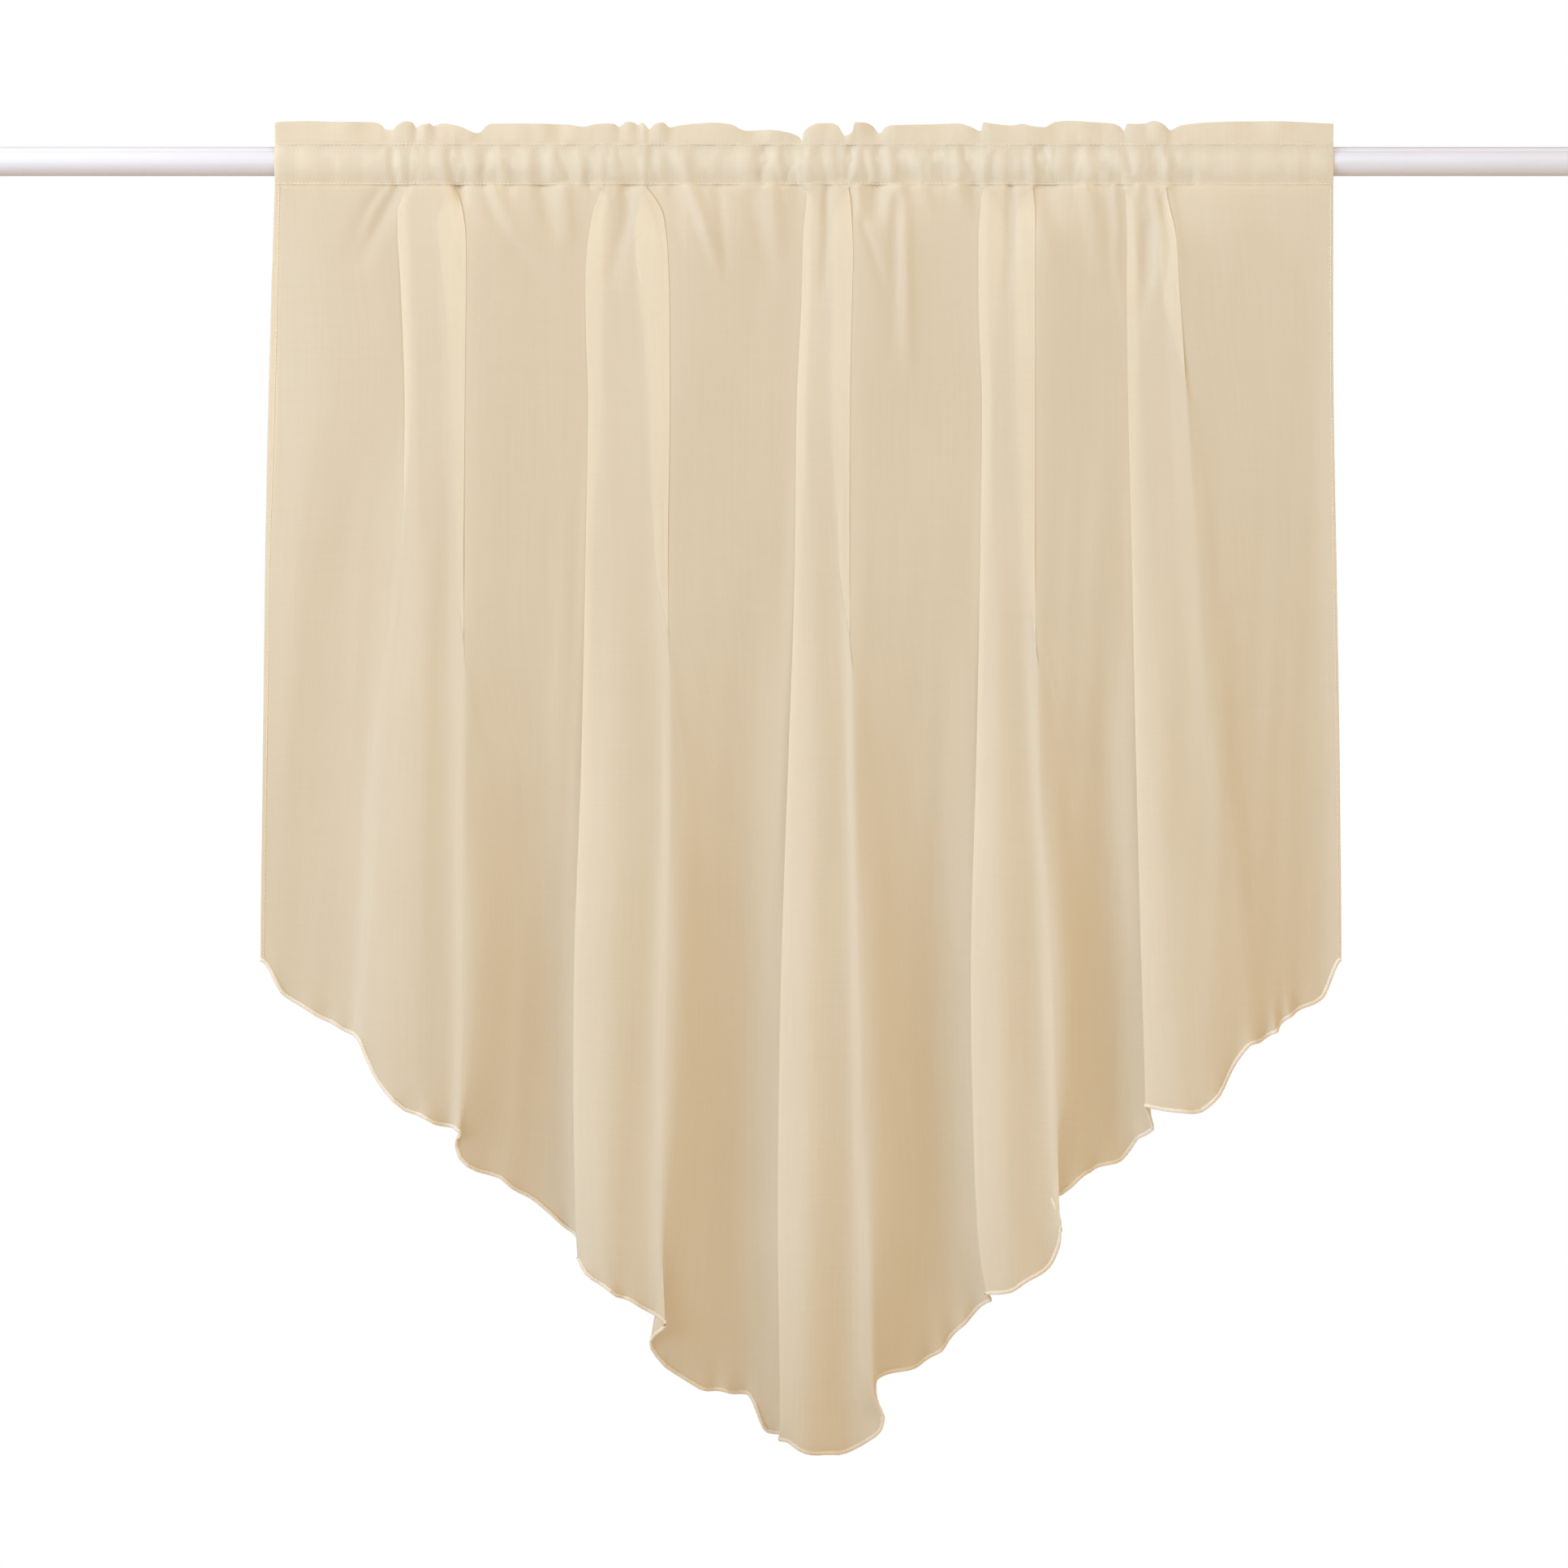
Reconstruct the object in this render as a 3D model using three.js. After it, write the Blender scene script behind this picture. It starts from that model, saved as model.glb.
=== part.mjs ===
// Cafe curtain hung in soft folds on a plain round rod.
// Millimetres, +Z up. X runs along the rod, the curtain faces -Y, and the origin lies on the
// rod's axis at the middle of its length.
import * as THREE from 'three';

// ---------------------------------------------------------------- driving sizes (mm)
const ROD_DIAMETER = 22;
const ROD_LENGTH = 1240;
const ROD_CHAMFER = 0.8; // plain broken edge at both ends
const ROD_SIDES = 40;

const CLOTH = 1.2; // thickness of the cloth sheet
const POCKET_RADIUS = 12.1; // inside of the rod pocket, clear of the rod
const LOWER_SEAM = 17.7; // seam under the rod, below the rod's axis
const UPPER_SEAM = 13.8; // seam over the rod, above the rod's axis
const FRILL_TOP = 29.5; // top of the frill above the rod's axis
const FRILL_DIP = 3.5; // how far the frill drops where the heading is gathered
const FRILL_WAVE = 2.6; // the frill's ripple against the seam's
const POCKET_PUFF = 1.6; // outward puff of the pocket between gathers
const FOOT = 9; // the valley floor begins this far outside a fold's edge
const CROWN_SHARE = 0.3; // the crown's place between a fold's left edge and its dip
const SEAM_BLEND = 10; // below the seam, the two sewn layers thin to one over this drop
const MITRE = 1.5; // the most that the half thickness grows at a sharp turn

const HEADING_ROWS = [9, 19, 31, 45, 63, 92]; // drops below the lower seam where the gathers open into folds
const HANGING_ROWS = 6; // rows from there to the hem
const ROWS = HEADING_ROWS.length + HANGING_ROWS;

// Angles around the rod, from straight forward, at which the pocket's wall is set out (degrees).
const POCKET_ANGLES = [-42, -8, 26, 60];

// ---------------------------------------------------------------- fold tables (mm)
// Drops below the rod's axis at which the fold lines are given.
const DROPS = [18, 38, 66, 153, 306, 458, 611, 794, 946];

// The two side edges and the soft valley beside the first fold, x at each drop.
const SIDES = {
  leftEdge: [-382, -383, -384, -387, -390, -390, -391, -389, -389],
  leftValley: [-321, -316, -312, -303, -328, -342, -354, -357, -357],
  rightEdge: [412, 412, 412, 412, 415, 417, 418, 417, 417],
};

// One row for each front fold, from left to right. left, dip and right are x at each drop: the fold's two
// edges and the soft trough between them. tuckLeft and tuckRight say how far the cloth runs back behind
// that edge before it turns again; below zero it is still only gathered.
// hem is the drop of the cut edge at each station of the fold and at the valley after it.
const FOLDS = [
  {
    left: [-292, -291, -290, -284, -286, -300, -310, -319, -321],
    dip: [-267, -263, -260, -257, -254, -254, -254, -253, -253],
    right: [-244, -241, -239, -239, -240, -239, -239, -246, -248],
    tuckLeft: [-5, -2, 2, 2, 2, 1, 1, 2, 2],
    tuckRight: [-5, -1, 12, 13, 6, 2, 2, 5, 5],
    depth: 0.8,
    hem: { foot: 659, tuckLeft: 666, left: 672, crown: 695, dip: 722, right: 727, tuckRight: 731, trough: 753, valley: 772 },
  },
  {
    left: [-123, -137, -146, -146, -149, -152, -157, -159, -155],
    dip: [-107, -109, -110, -106, -101, -98, -104, -109, -109],
    right: [-88, -88, -88, -85, -87, -85, -87, -91, -87],
    tuckLeft: [-4, -1, 15, 11, 3, 2, 2, 2, 2],
    tuckRight: [-4, -1, 18, 18, 10, 3, 3, 7, 10],
    depth: 1.0,
    hem: { foot: 805, tuckLeft: 816, left: 824, crown: 843, dip: 859, right: 872, tuckRight: 886, trough: 908, valley: 926 },
  },
  {
    left: [18, 16, 14, 10, 8, 3, -2, -5, -13],
    dip: [38, 36, 34, 32, 39, 43, 43, 43, 39],
    right: [60, 55, 52, 49, 49, 52, 57, 62, 76],
    tuckLeft: [-5, -1, 14, 11, 2, 2, 2, 2, 2],
    tuckRight: [-5, -1, 16, 14, 8, 3, 3, 4, 6],
    depth: 1.1,
    hem: { foot: 926, tuckLeft: 930, left: 944, crown: 964, dip: 969, right: 940, tuckRight: 916, trough: 909, valley: 899 },
  },
  {
    left: [151, 147, 145, 149, 147, 144, 140, 141, 150],
    dip: [169, 168, 167, 170, 174, 179, 186, 192, 192],
    right: [187, 188, 188, 188, 188, 192, 201, 209, 211],
    tuckLeft: [-4, -1, 22, 9, 2, 2, 2, 4, 5],
    tuckRight: [-4, -1, 13, 15, 6, 2, 2, 4, 4],
    depth: 1.0,
    hem: { foot: 872, tuckLeft: 855, left: 850, crown: 849, dip: 836, right: 800, tuckRight: 778, trough: 758, valley: 752 },
  },
  {
    left: [260, 258, 257, 257, 261, 264, 268, 273, 273],
    dip: [274, 277, 279, 289, 293, 301, 312, 321, 321],
    right: [288, 292, 294, 300, 310, 323, 339, 345, 345],
    tuckLeft: [-4, -2, 5, 6, 4, 2, 2, 4, 4],
    tuckRight: [-4, -2, 6, 5, 2, 1, 1, 1, 1],
    depth: 0.85,
    hem: { foot: 734, tuckLeft: 727, left: 714, crown: 712, dip: 709, right: 675, tuckRight: 669, trough: 662, valley: 652 },
  },
];

// How far forward of the rod's axis each kind of station hangs, one row for each drop.
const FORWARD = [
  { foot: 0, tuckLeft: -1.4, left: 1.4, crown: -1.2, dip: 1.4, right: -1.2, tuckRight: 1.2, trough: -0.6, valley: 0 },
  { foot: -2, tuckLeft: 1.5, left: 6, crown: 9, dip: 8.5, right: 8, tuckRight: 2.5, trough: -3, valley: -2 },
  { foot: -3.5, tuckLeft: 4, left: 12, crown: 17, dip: 15, right: 16, tuckRight: 5.5, trough: -6.5, valley: -4 },
  { foot: -3, tuckLeft: 6, left: 15, crown: 21, dip: 18, right: 19, tuckRight: 6.5, trough: -9, valley: -6 },
  { foot: -2, tuckLeft: 7, left: 17, crown: 23, dip: 18, right: 20, tuckRight: 7, trough: -12, valley: -8 },
  { foot: -1, tuckLeft: 9, left: 19, crown: 25, dip: 19, right: 22, tuckRight: 8, trough: -14, valley: -9 },
  { foot: -1, tuckLeft: 10, left: 20, crown: 27, dip: 20, right: 23, tuckRight: 8, trough: -15, valley: -10 },
  { foot: -1, tuckLeft: 10, left: 20, crown: 27, dip: 20, right: 23, tuckRight: 8, trough: -16, valley: -10 },
  { foot: -1, tuckLeft: 10, left: 20, crown: 27, dip: 20, right: 23, tuckRight: 8, trough: -16, valley: -10 },
];

// The same for the stations beside the first and last folds.
const SIDE_FORWARD = {
  leftEdge: [0, -1, -2, -3, -3, -2, -1, -1, -1],
  leftMargin: [0, -1, -2, -4, -5, -5, -4, -3, -3],
  leftValley: [0, -2, -4, -8, -9, -7, -5, -4, -4],
  rightMargin: [0, -2, -4, -7, -10, -11, -11, -11, -11],
  rightEdge: [0, -1, -2, -4, -6, -6, -5, -5, -5],
};
const SIDE_HEM = { leftEdge: 601, leftMargin: 629, leftValley: 645, rightMargin: 630, rightEdge: 600 };
const RIGHT_MARGIN = 22; // the last margin station lies this far inside the right edge

// Facets from each kind of station to the next: more where the cloth turns sharply.
const FACETS = {
  leftEdge: 1, leftMargin: 1, leftValley: 2,
  foot: 2, tuckLeft: 3, left: 2, crown: 1, dip: 3, right: 3, tuckRight: 2, trough: 1, valley: 1,
  rightMargin: 1,
};

// ---------------------------------------------------------------- interpolation
const mix = (a, b, t) => a + (b - a) * t;
const smooth = (t) => { const c = Math.min(1, Math.max(0, t)); return c * c * (3 - 2 * c); };

// Value at a drop of a quantity given at DROPS, with slopes that never overshoot the table.
function alongDrop(values, drop) {
  const last = DROPS.length - 1;
  if (drop <= DROPS[0]) return values[0];
  if (drop >= DROPS[last]) return values[last];
  let i = 0;
  while (drop > DROPS[i + 1]) i += 1;
  const slope = (k) => (values[k + 1] - values[k]) / (DROPS[k + 1] - DROPS[k]);
  const tangent = (k) => {
    if (k === 0 || k === last) return 0;
    const a = slope(k - 1), b = slope(k);
    return a * b <= 0 ? 0 : (2 * a * b) / (a + b);
  };
  const span = DROPS[i + 1] - DROPS[i];
  const t = (drop - DROPS[i]) / span;
  const t2 = t * t, t3 = t2 * t;
  return (2 * t3 - 3 * t2 + 1) * values[i] + (t3 - 2 * t2 + t) * span * tangent(i)
    + (3 * t2 - 2 * t3) * values[i + 1] + (t3 - t2) * span * tangent(i + 1);
}

// ---------------------------------------------------------------- stations across the cloth
// Each station gives its x and how far forward it hangs at any drop, and the drop of its hem.
const forwardAt = (kind, drop) => alongDrop(FORWARD.map((row) => row[kind]), drop);

function foldStations(fold, nextLeft) {
  const left = (d) => alongDrop(fold.left, d);
  const dip = (d) => alongDrop(fold.dip, d);
  const right = (d) => alongDrop(fold.right, d);
  const station = (kind, x) => ({ kind, x, forward: (d) => forwardAt(kind, d) * fold.depth, hem: fold.hem[kind] });
  const footOut = (d) => FOOT + 2 * (1 - smooth((d - LOWER_SEAM) / 40));
  return [
    station('foot', (d) => left(d) - footOut(d)),
    station('tuckLeft', (d) => left(d) + alongDrop(fold.tuckLeft, d)),
    station('left', left),
    station('crown', (d) => mix(left(d), dip(d), CROWN_SHARE)),
    station('dip', dip),
    station('right', right),
    station('tuckRight', (d) => right(d) - alongDrop(fold.tuckRight, d)),
    station('trough', (d) => right(d) + footOut(d)),
    station('valley', (d) => mix(right(d), nextLeft(d), 0.52)),
  ];
}

const leftEdge = (d) => alongDrop(SIDES.leftEdge, d);
const leftValley = (d) => alongDrop(SIDES.leftValley, d);
const rightEdge = (d) => alongDrop(SIDES.rightEdge, d);
const rightMargin = (d) => rightEdge(d) - RIGHT_MARGIN;
const sideStation = (kind, x) => ({ kind, x, forward: (d) => alongDrop(SIDE_FORWARD[kind], d), hem: SIDE_HEM[kind] });

const stations = [
  sideStation('leftEdge', leftEdge),
  sideStation('leftMargin', (d) => mix(leftEdge(d), leftValley(d), 0.45)),
  sideStation('leftValley', leftValley),
  ...FOLDS.flatMap((fold, k) => foldStations(fold, k + 1 < FOLDS.length ? (d) => alongDrop(FOLDS[k + 1].left, d) : rightMargin)),
  sideStation('rightMargin', rightMargin),
  sideStation('rightEdge', rightEdge),
];

// ---------------------------------------------------------------- the cloth's middle surface
// Centripetal curve through four neighbouring stations, so tight turns stay round.
function curveThrough(p0, p1, p2, p3, t) {
  const knot = (a, b) => Math.max(1e-3, Math.sqrt(a.distanceTo(b)));
  const k1 = knot(p0, p1), k2 = k1 + knot(p1, p2), k3 = k2 + knot(p2, p3);
  const k = mix(k1, k2, t);
  const between = (a, b, ka, kb) => a.clone().lerp(b, (k - ka) / (kb - ka));
  const a1 = between(p0, p1, 0, k1), a2 = between(p1, p2, k1, k2), a3 = between(p2, p3, k2, k3);
  const b1 = between(a1, a2, 0, k2), b2 = between(a2, a3, k1, k3);
  return between(b1, b2, k1, k2);
}

const stationPoint = (i, drop) => {
  const last = stations.length - 1;
  if (i < 0) return stationPoint(0, drop).multiplyScalar(2).sub(stationPoint(1, drop));
  if (i > last) return stationPoint(last, drop).multiplyScalar(2).sub(stationPoint(last - 1, drop));
  return new THREE.Vector2(stations[i].x(drop), stations[i].forward(drop));
};

// u counts stations from the left edge; the point is (x, y, z).
function cloth(u, drop) {
  const i = Math.min(stations.length - 2, Math.floor(u));
  const p = curveThrough(stationPoint(i - 1, drop), stationPoint(i, drop), stationPoint(i + 1, drop), stationPoint(i + 2, drop), u - i);
  return new THREE.Vector3(p.x, -p.y, -drop);
}

function hemDrop(u) {
  const i = Math.min(stations.length - 2, Math.floor(u));
  return mix(stations[i].hem, stations[i + 1].hem, u - i);
}

// ---------------------------------------------------------------- columns of the sheet
// Every column runs from the lower seam to the hem. Row 0 is the seam.
const columns = stations.slice(0, -1)
  .flatMap((st, i) => Array.from({ length: FACETS[st.kind] }, (_, k) => i + k / FACETS[st.kind]))
  .concat(stations.length - 1)
  .map((u) => {
    const opened = LOWER_SEAM + HEADING_ROWS.at(-1);
    const drops = [LOWER_SEAM, ...HEADING_ROWS.map((d) => LOWER_SEAM + d)];
    for (let r = 1; r <= HANGING_ROWS; r += 1) drops.push(mix(opened, hemDrop(u), r / HANGING_ROWS));
    return drops.map((drop) => cloth(u, drop));
  });

// Normal of the facet to the right of a column, pointing to the back where the cloth lies flat.
function facetNormal(c, r) {
  const a = Math.max(0, Math.min(columns.length - 2, c));
  const across = columns[a + 1][r].clone().sub(columns[a][r]);
  const down = columns[a][Math.min(ROWS, r + 1)].clone().sub(columns[a][Math.max(0, r - 1)]);
  return across.cross(down).normalize();
}

// From the middle surface to the back of the cloth at one vertex.
function halfThickness(c, r) {
  const left = facetNormal(c - 1, r), right = facetNormal(c, r);
  const out = left.clone().add(right).normalize();
  const mitre = Math.min(MITRE, 1 / Math.max(0.2, out.dot(right)));
  const single = smooth((-columns[c][r].z - LOWER_SEAM) / SEAM_BLEND);
  return new THREE.Vector3(0, CLOTH, 0).lerp(out.multiplyScalar((CLOTH / 2) * mitre), single);
}

// ---------------------------------------------------------------- one section through the curtain
// body: front and back of the single sheet from the hem up to the row under the seam.
// sleeve: the doubled heading, from the seam's front over the frill to the seam's back.
// tunnel: the pocket's inner wall around the rod.
function section(c) {
  const seam = columns[c][0];
  const gather = -seam.y; // forward wave of the gathered seam
  const front = [], back = [];
  for (let r = ROWS; r >= 1; r -= 1) {
    const half = halfThickness(c, r);
    front.push(columns[c][r].clone().sub(half));
    back.push(columns[c][r].clone().add(half));
  }
  const layer = (side) => new THREE.Vector3(seam.x, -gather + side * CLOTH, -LOWER_SEAM);
  const pocket = (side, radius) => POCKET_ANGLES.map((degrees) => {
    const angle = THREE.MathUtils.degToRad(degrees);
    const puff = side < 0 ? Math.max(0, gather) * POCKET_PUFF : 0;
    return new THREE.Vector3(seam.x, side * (radius + puff) * Math.cos(angle), radius * Math.sin(angle));
  });
  const frill = (side, share) => new THREE.Vector3(
    seam.x,
    -gather * mix(0.5, FRILL_WAVE, share) + side * CLOTH,
    mix(UPPER_SEAM, FRILL_TOP - FRILL_DIP * Math.min(1, Math.abs(gather) / 1.4), share),
  );
  const wall = POCKET_RADIUS + CLOTH;
  const sleeve = [
    layer(-1), ...pocket(-1, wall), frill(-1, 0), frill(-1, 1),
    frill(1, 1), frill(1, 0), ...pocket(1, wall).reverse(), layer(1),
  ];
  const tunnel = [
    new THREE.Vector3(seam.x, -gather, -(LOWER_SEAM - 2)),
    ...pocket(-1, POCKET_RADIUS),
    new THREE.Vector3(seam.x, 0, UPPER_SEAM - 1.2),
    ...pocket(1, POCKET_RADIUS).reverse(),
  ];
  return { front, sleeve, back: back.reverse(), tunnel };
}

// ---------------------------------------------------------------- closed mesh of the curtain
function curtainGeometry() {
  const sections = columns.map((_, c) => section(c));
  const nSleeve = sections[0].sleeve.length, nIn = sections[0].tunnel.length;
  const nOut = 2 * ROWS + nSleeve, per = nOut + nIn, last = columns.length - 1;
  const positions = sections.flatMap((s) => [...s.front, ...s.sleeve, ...s.back, ...s.tunnel]).flatMap((p) => [p.x, p.y, p.z]);
  const faces = [];
  const quad = (a, b, c, d) => faces.push([a, b, c], [a, c, d]);
  for (let c = 0; c < last; c += 1) {
    const at = (i) => c * per + i;
    for (let i = 0; i < nOut; i += 1) {
      const j = (i + 1) % nOut;
      // Both faces of the sheet are split along the same diagonal, so it keeps its thickness where it twists.
      if (i < nOut / 2) quad(at(i), at(i) + per, at(j) + per, at(j));
      else quad(at(i) + per, at(j) + per, at(j), at(i));
    }
    for (let i = 0; i < nIn; i += 1) {
      const j = (i + 1) % nIn;
      quad(at(nOut + i), at(nOut + j), at(nOut + j) + per, at(nOut + i) + per);
    }
  }
  // End faces at the two side hems: a strip down the sheet, and the heading with the pocket's mouth open.
  for (const [c, outward] of [[0, -1], [last, 1]]) {
    const at = (i) => c * per + i;
    for (let i = 0; i < ROWS; i += 1) {
      const j = nOut - 1 - i;
      if (outward < 0) quad(at(i), at(i + 1), at(j - 1), at(j));
      else quad(at(j), at(j - 1), at(i + 1), at(i));
    }
    const flat = (p) => new THREE.Vector2(p.y, p.z);
    const contour = sections[c].sleeve.map(flat), hole = sections[c].tunnel.map(flat);
    const points = [...contour, ...hole];
    const index = (k) => at(k < nSleeve ? ROWS + k : nOut + k - nSleeve);
    for (const tri of THREE.ShapeUtils.triangulateShape(contour, [hole])) {
      const [p, q, r] = tri.map((k) => points[k]);
      const turn = (q.x - p.x) * (r.y - p.y) - (q.y - p.y) * (r.x - p.x);
      const corners = tri.map(index);
      faces.push(turn * outward > 0 ? corners : [corners[0], corners[2], corners[1]]);
    }
  }
  const geometry = new THREE.BufferGeometry();
  geometry.setAttribute('position', new THREE.Float32BufferAttribute(positions, 3));
  geometry.setIndex(faces.flat());
  geometry.computeVertexNormals();
  return geometry;
}

// ---------------------------------------------------------------- rod
function rodGeometry() {
  const r = ROD_DIAMETER / 2, half = ROD_LENGTH / 2;
  const profile = [
    new THREE.Vector2(0, -half),
    new THREE.Vector2(r - ROD_CHAMFER, -half),
    new THREE.Vector2(r, -half + ROD_CHAMFER),
    new THREE.Vector2(r, half - ROD_CHAMFER),
    new THREE.Vector2(r - ROD_CHAMFER, half),
    new THREE.Vector2(0, half),
  ];
  return new THREE.LatheGeometry(profile, ROD_SIDES);
}

// ---------------------------------------------------------------- the two pieces
const curtain = new THREE.Mesh(
  curtainGeometry(),
  new THREE.MeshStandardMaterial({ color: 0xdecbac, roughness: 0.85, metalness: 0, side: THREE.DoubleSide }),
);
curtain.name = 'curtain';

const rod = new THREE.Mesh(
  rodGeometry(),
  new THREE.MeshStandardMaterial({ color: 0xe6e3e8, roughness: 0.3, metalness: 0.6 }),
);
rod.name = 'rod';
rod.rotation.z = -Math.PI / 2; // the lathe's axis is laid along +X

const model = new THREE.Group();
model.name = 'cafe_curtain_on_a_rod';
model.add(curtain, rod);

export default model;
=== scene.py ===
"""Looks of a voile cafe curtain that hangs in soft gathered folds from a plain round rod.

The cloth is one open sheet. It starts at the turned end behind the lower seam, runs up the back of the rod
pocket, over the frill, down the front of the pocket and on to the hem. X runs along the rod, the curtain faces
-Y, +Z is up. Tables are in millimetres, meshes in metres.
"""
import math

import bpy
import numpy as np
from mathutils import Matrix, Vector


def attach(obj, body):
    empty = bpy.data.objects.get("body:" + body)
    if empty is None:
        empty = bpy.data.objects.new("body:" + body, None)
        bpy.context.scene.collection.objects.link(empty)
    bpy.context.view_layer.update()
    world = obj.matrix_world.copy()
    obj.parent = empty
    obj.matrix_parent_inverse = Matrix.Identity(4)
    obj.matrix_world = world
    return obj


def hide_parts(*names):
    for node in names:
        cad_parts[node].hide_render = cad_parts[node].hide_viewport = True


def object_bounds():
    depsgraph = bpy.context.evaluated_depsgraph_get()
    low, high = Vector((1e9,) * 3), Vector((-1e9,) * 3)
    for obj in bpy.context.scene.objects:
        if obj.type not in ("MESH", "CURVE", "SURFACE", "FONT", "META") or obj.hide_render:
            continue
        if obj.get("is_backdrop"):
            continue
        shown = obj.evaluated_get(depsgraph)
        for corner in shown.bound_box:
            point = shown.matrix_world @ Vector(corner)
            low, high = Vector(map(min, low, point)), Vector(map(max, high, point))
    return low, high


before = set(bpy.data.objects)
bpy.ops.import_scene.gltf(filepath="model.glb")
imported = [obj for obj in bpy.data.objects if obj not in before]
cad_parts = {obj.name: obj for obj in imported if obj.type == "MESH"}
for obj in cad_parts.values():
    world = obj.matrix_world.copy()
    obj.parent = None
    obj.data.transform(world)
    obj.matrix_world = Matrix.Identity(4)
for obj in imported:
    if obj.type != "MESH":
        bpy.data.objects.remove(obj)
cad_low, cad_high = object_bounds()

MM = 0.001
rng = np.random.RandomState(11)

# ---------------------------------------------------------------- sizes (mm)
ROD_RADIUS = 11.0
ROD_LENGTH = 1240.0
LOWER_SEAM = 17.7  # seam under the rod, below the rod's axis
UPPER_SEAM = 11.9  # seam over the rod, above the rod's axis
LAYER = 0.4  # from the middle of the frill to either of its two layers
CLEAR = 0.35  # least gap between cloth and rod
FRONT = 9.0  # both seams and the hanging cloth lie this far in front of the rod's axis
FLAP = 5.0  # width of the turned side hems
TURNED_END = 3.2  # the heading's turned end reaches this far below the lower seam
FLAT_SPAN = 1250.0  # millimetres of flat cloth across the whole map of the sheet

# ---------------------------------------------------------------- fold tables (mm)
# Drops below the rod's axis at which the fold lines are given.
DROPS = [18, 28, 40, 54, 70, 95, 130, 180, 306, 340, 380, 420, 458, 611, 690, 794, 880, 920, 946]

# The two side edges and the soft valley beside the first fold, x at each drop.
SIDES = {
    "leftEdge": [-382, -382.5, -383, -383.5, -384, -385, -386, -387.5, -390, -390.4, -390.8, -391.15, -391.5, -393, -393, -393, -393, -393, -393],
    "leftValley": [-324, -320, -316, -314, -311, -308, -304, -305, -328, -331.8, -335.54, -338.87, -342, -354, -355, -357, -357, -357, -357],
    "rightEdge": [412, 412, 412, 412, 412, 412, 412, 412.5, 415, 415.71, 416.58, 417.39, 418, 419.5, 419.5, 419.5, 419.5, 419.5, 419.5],
}

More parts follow.
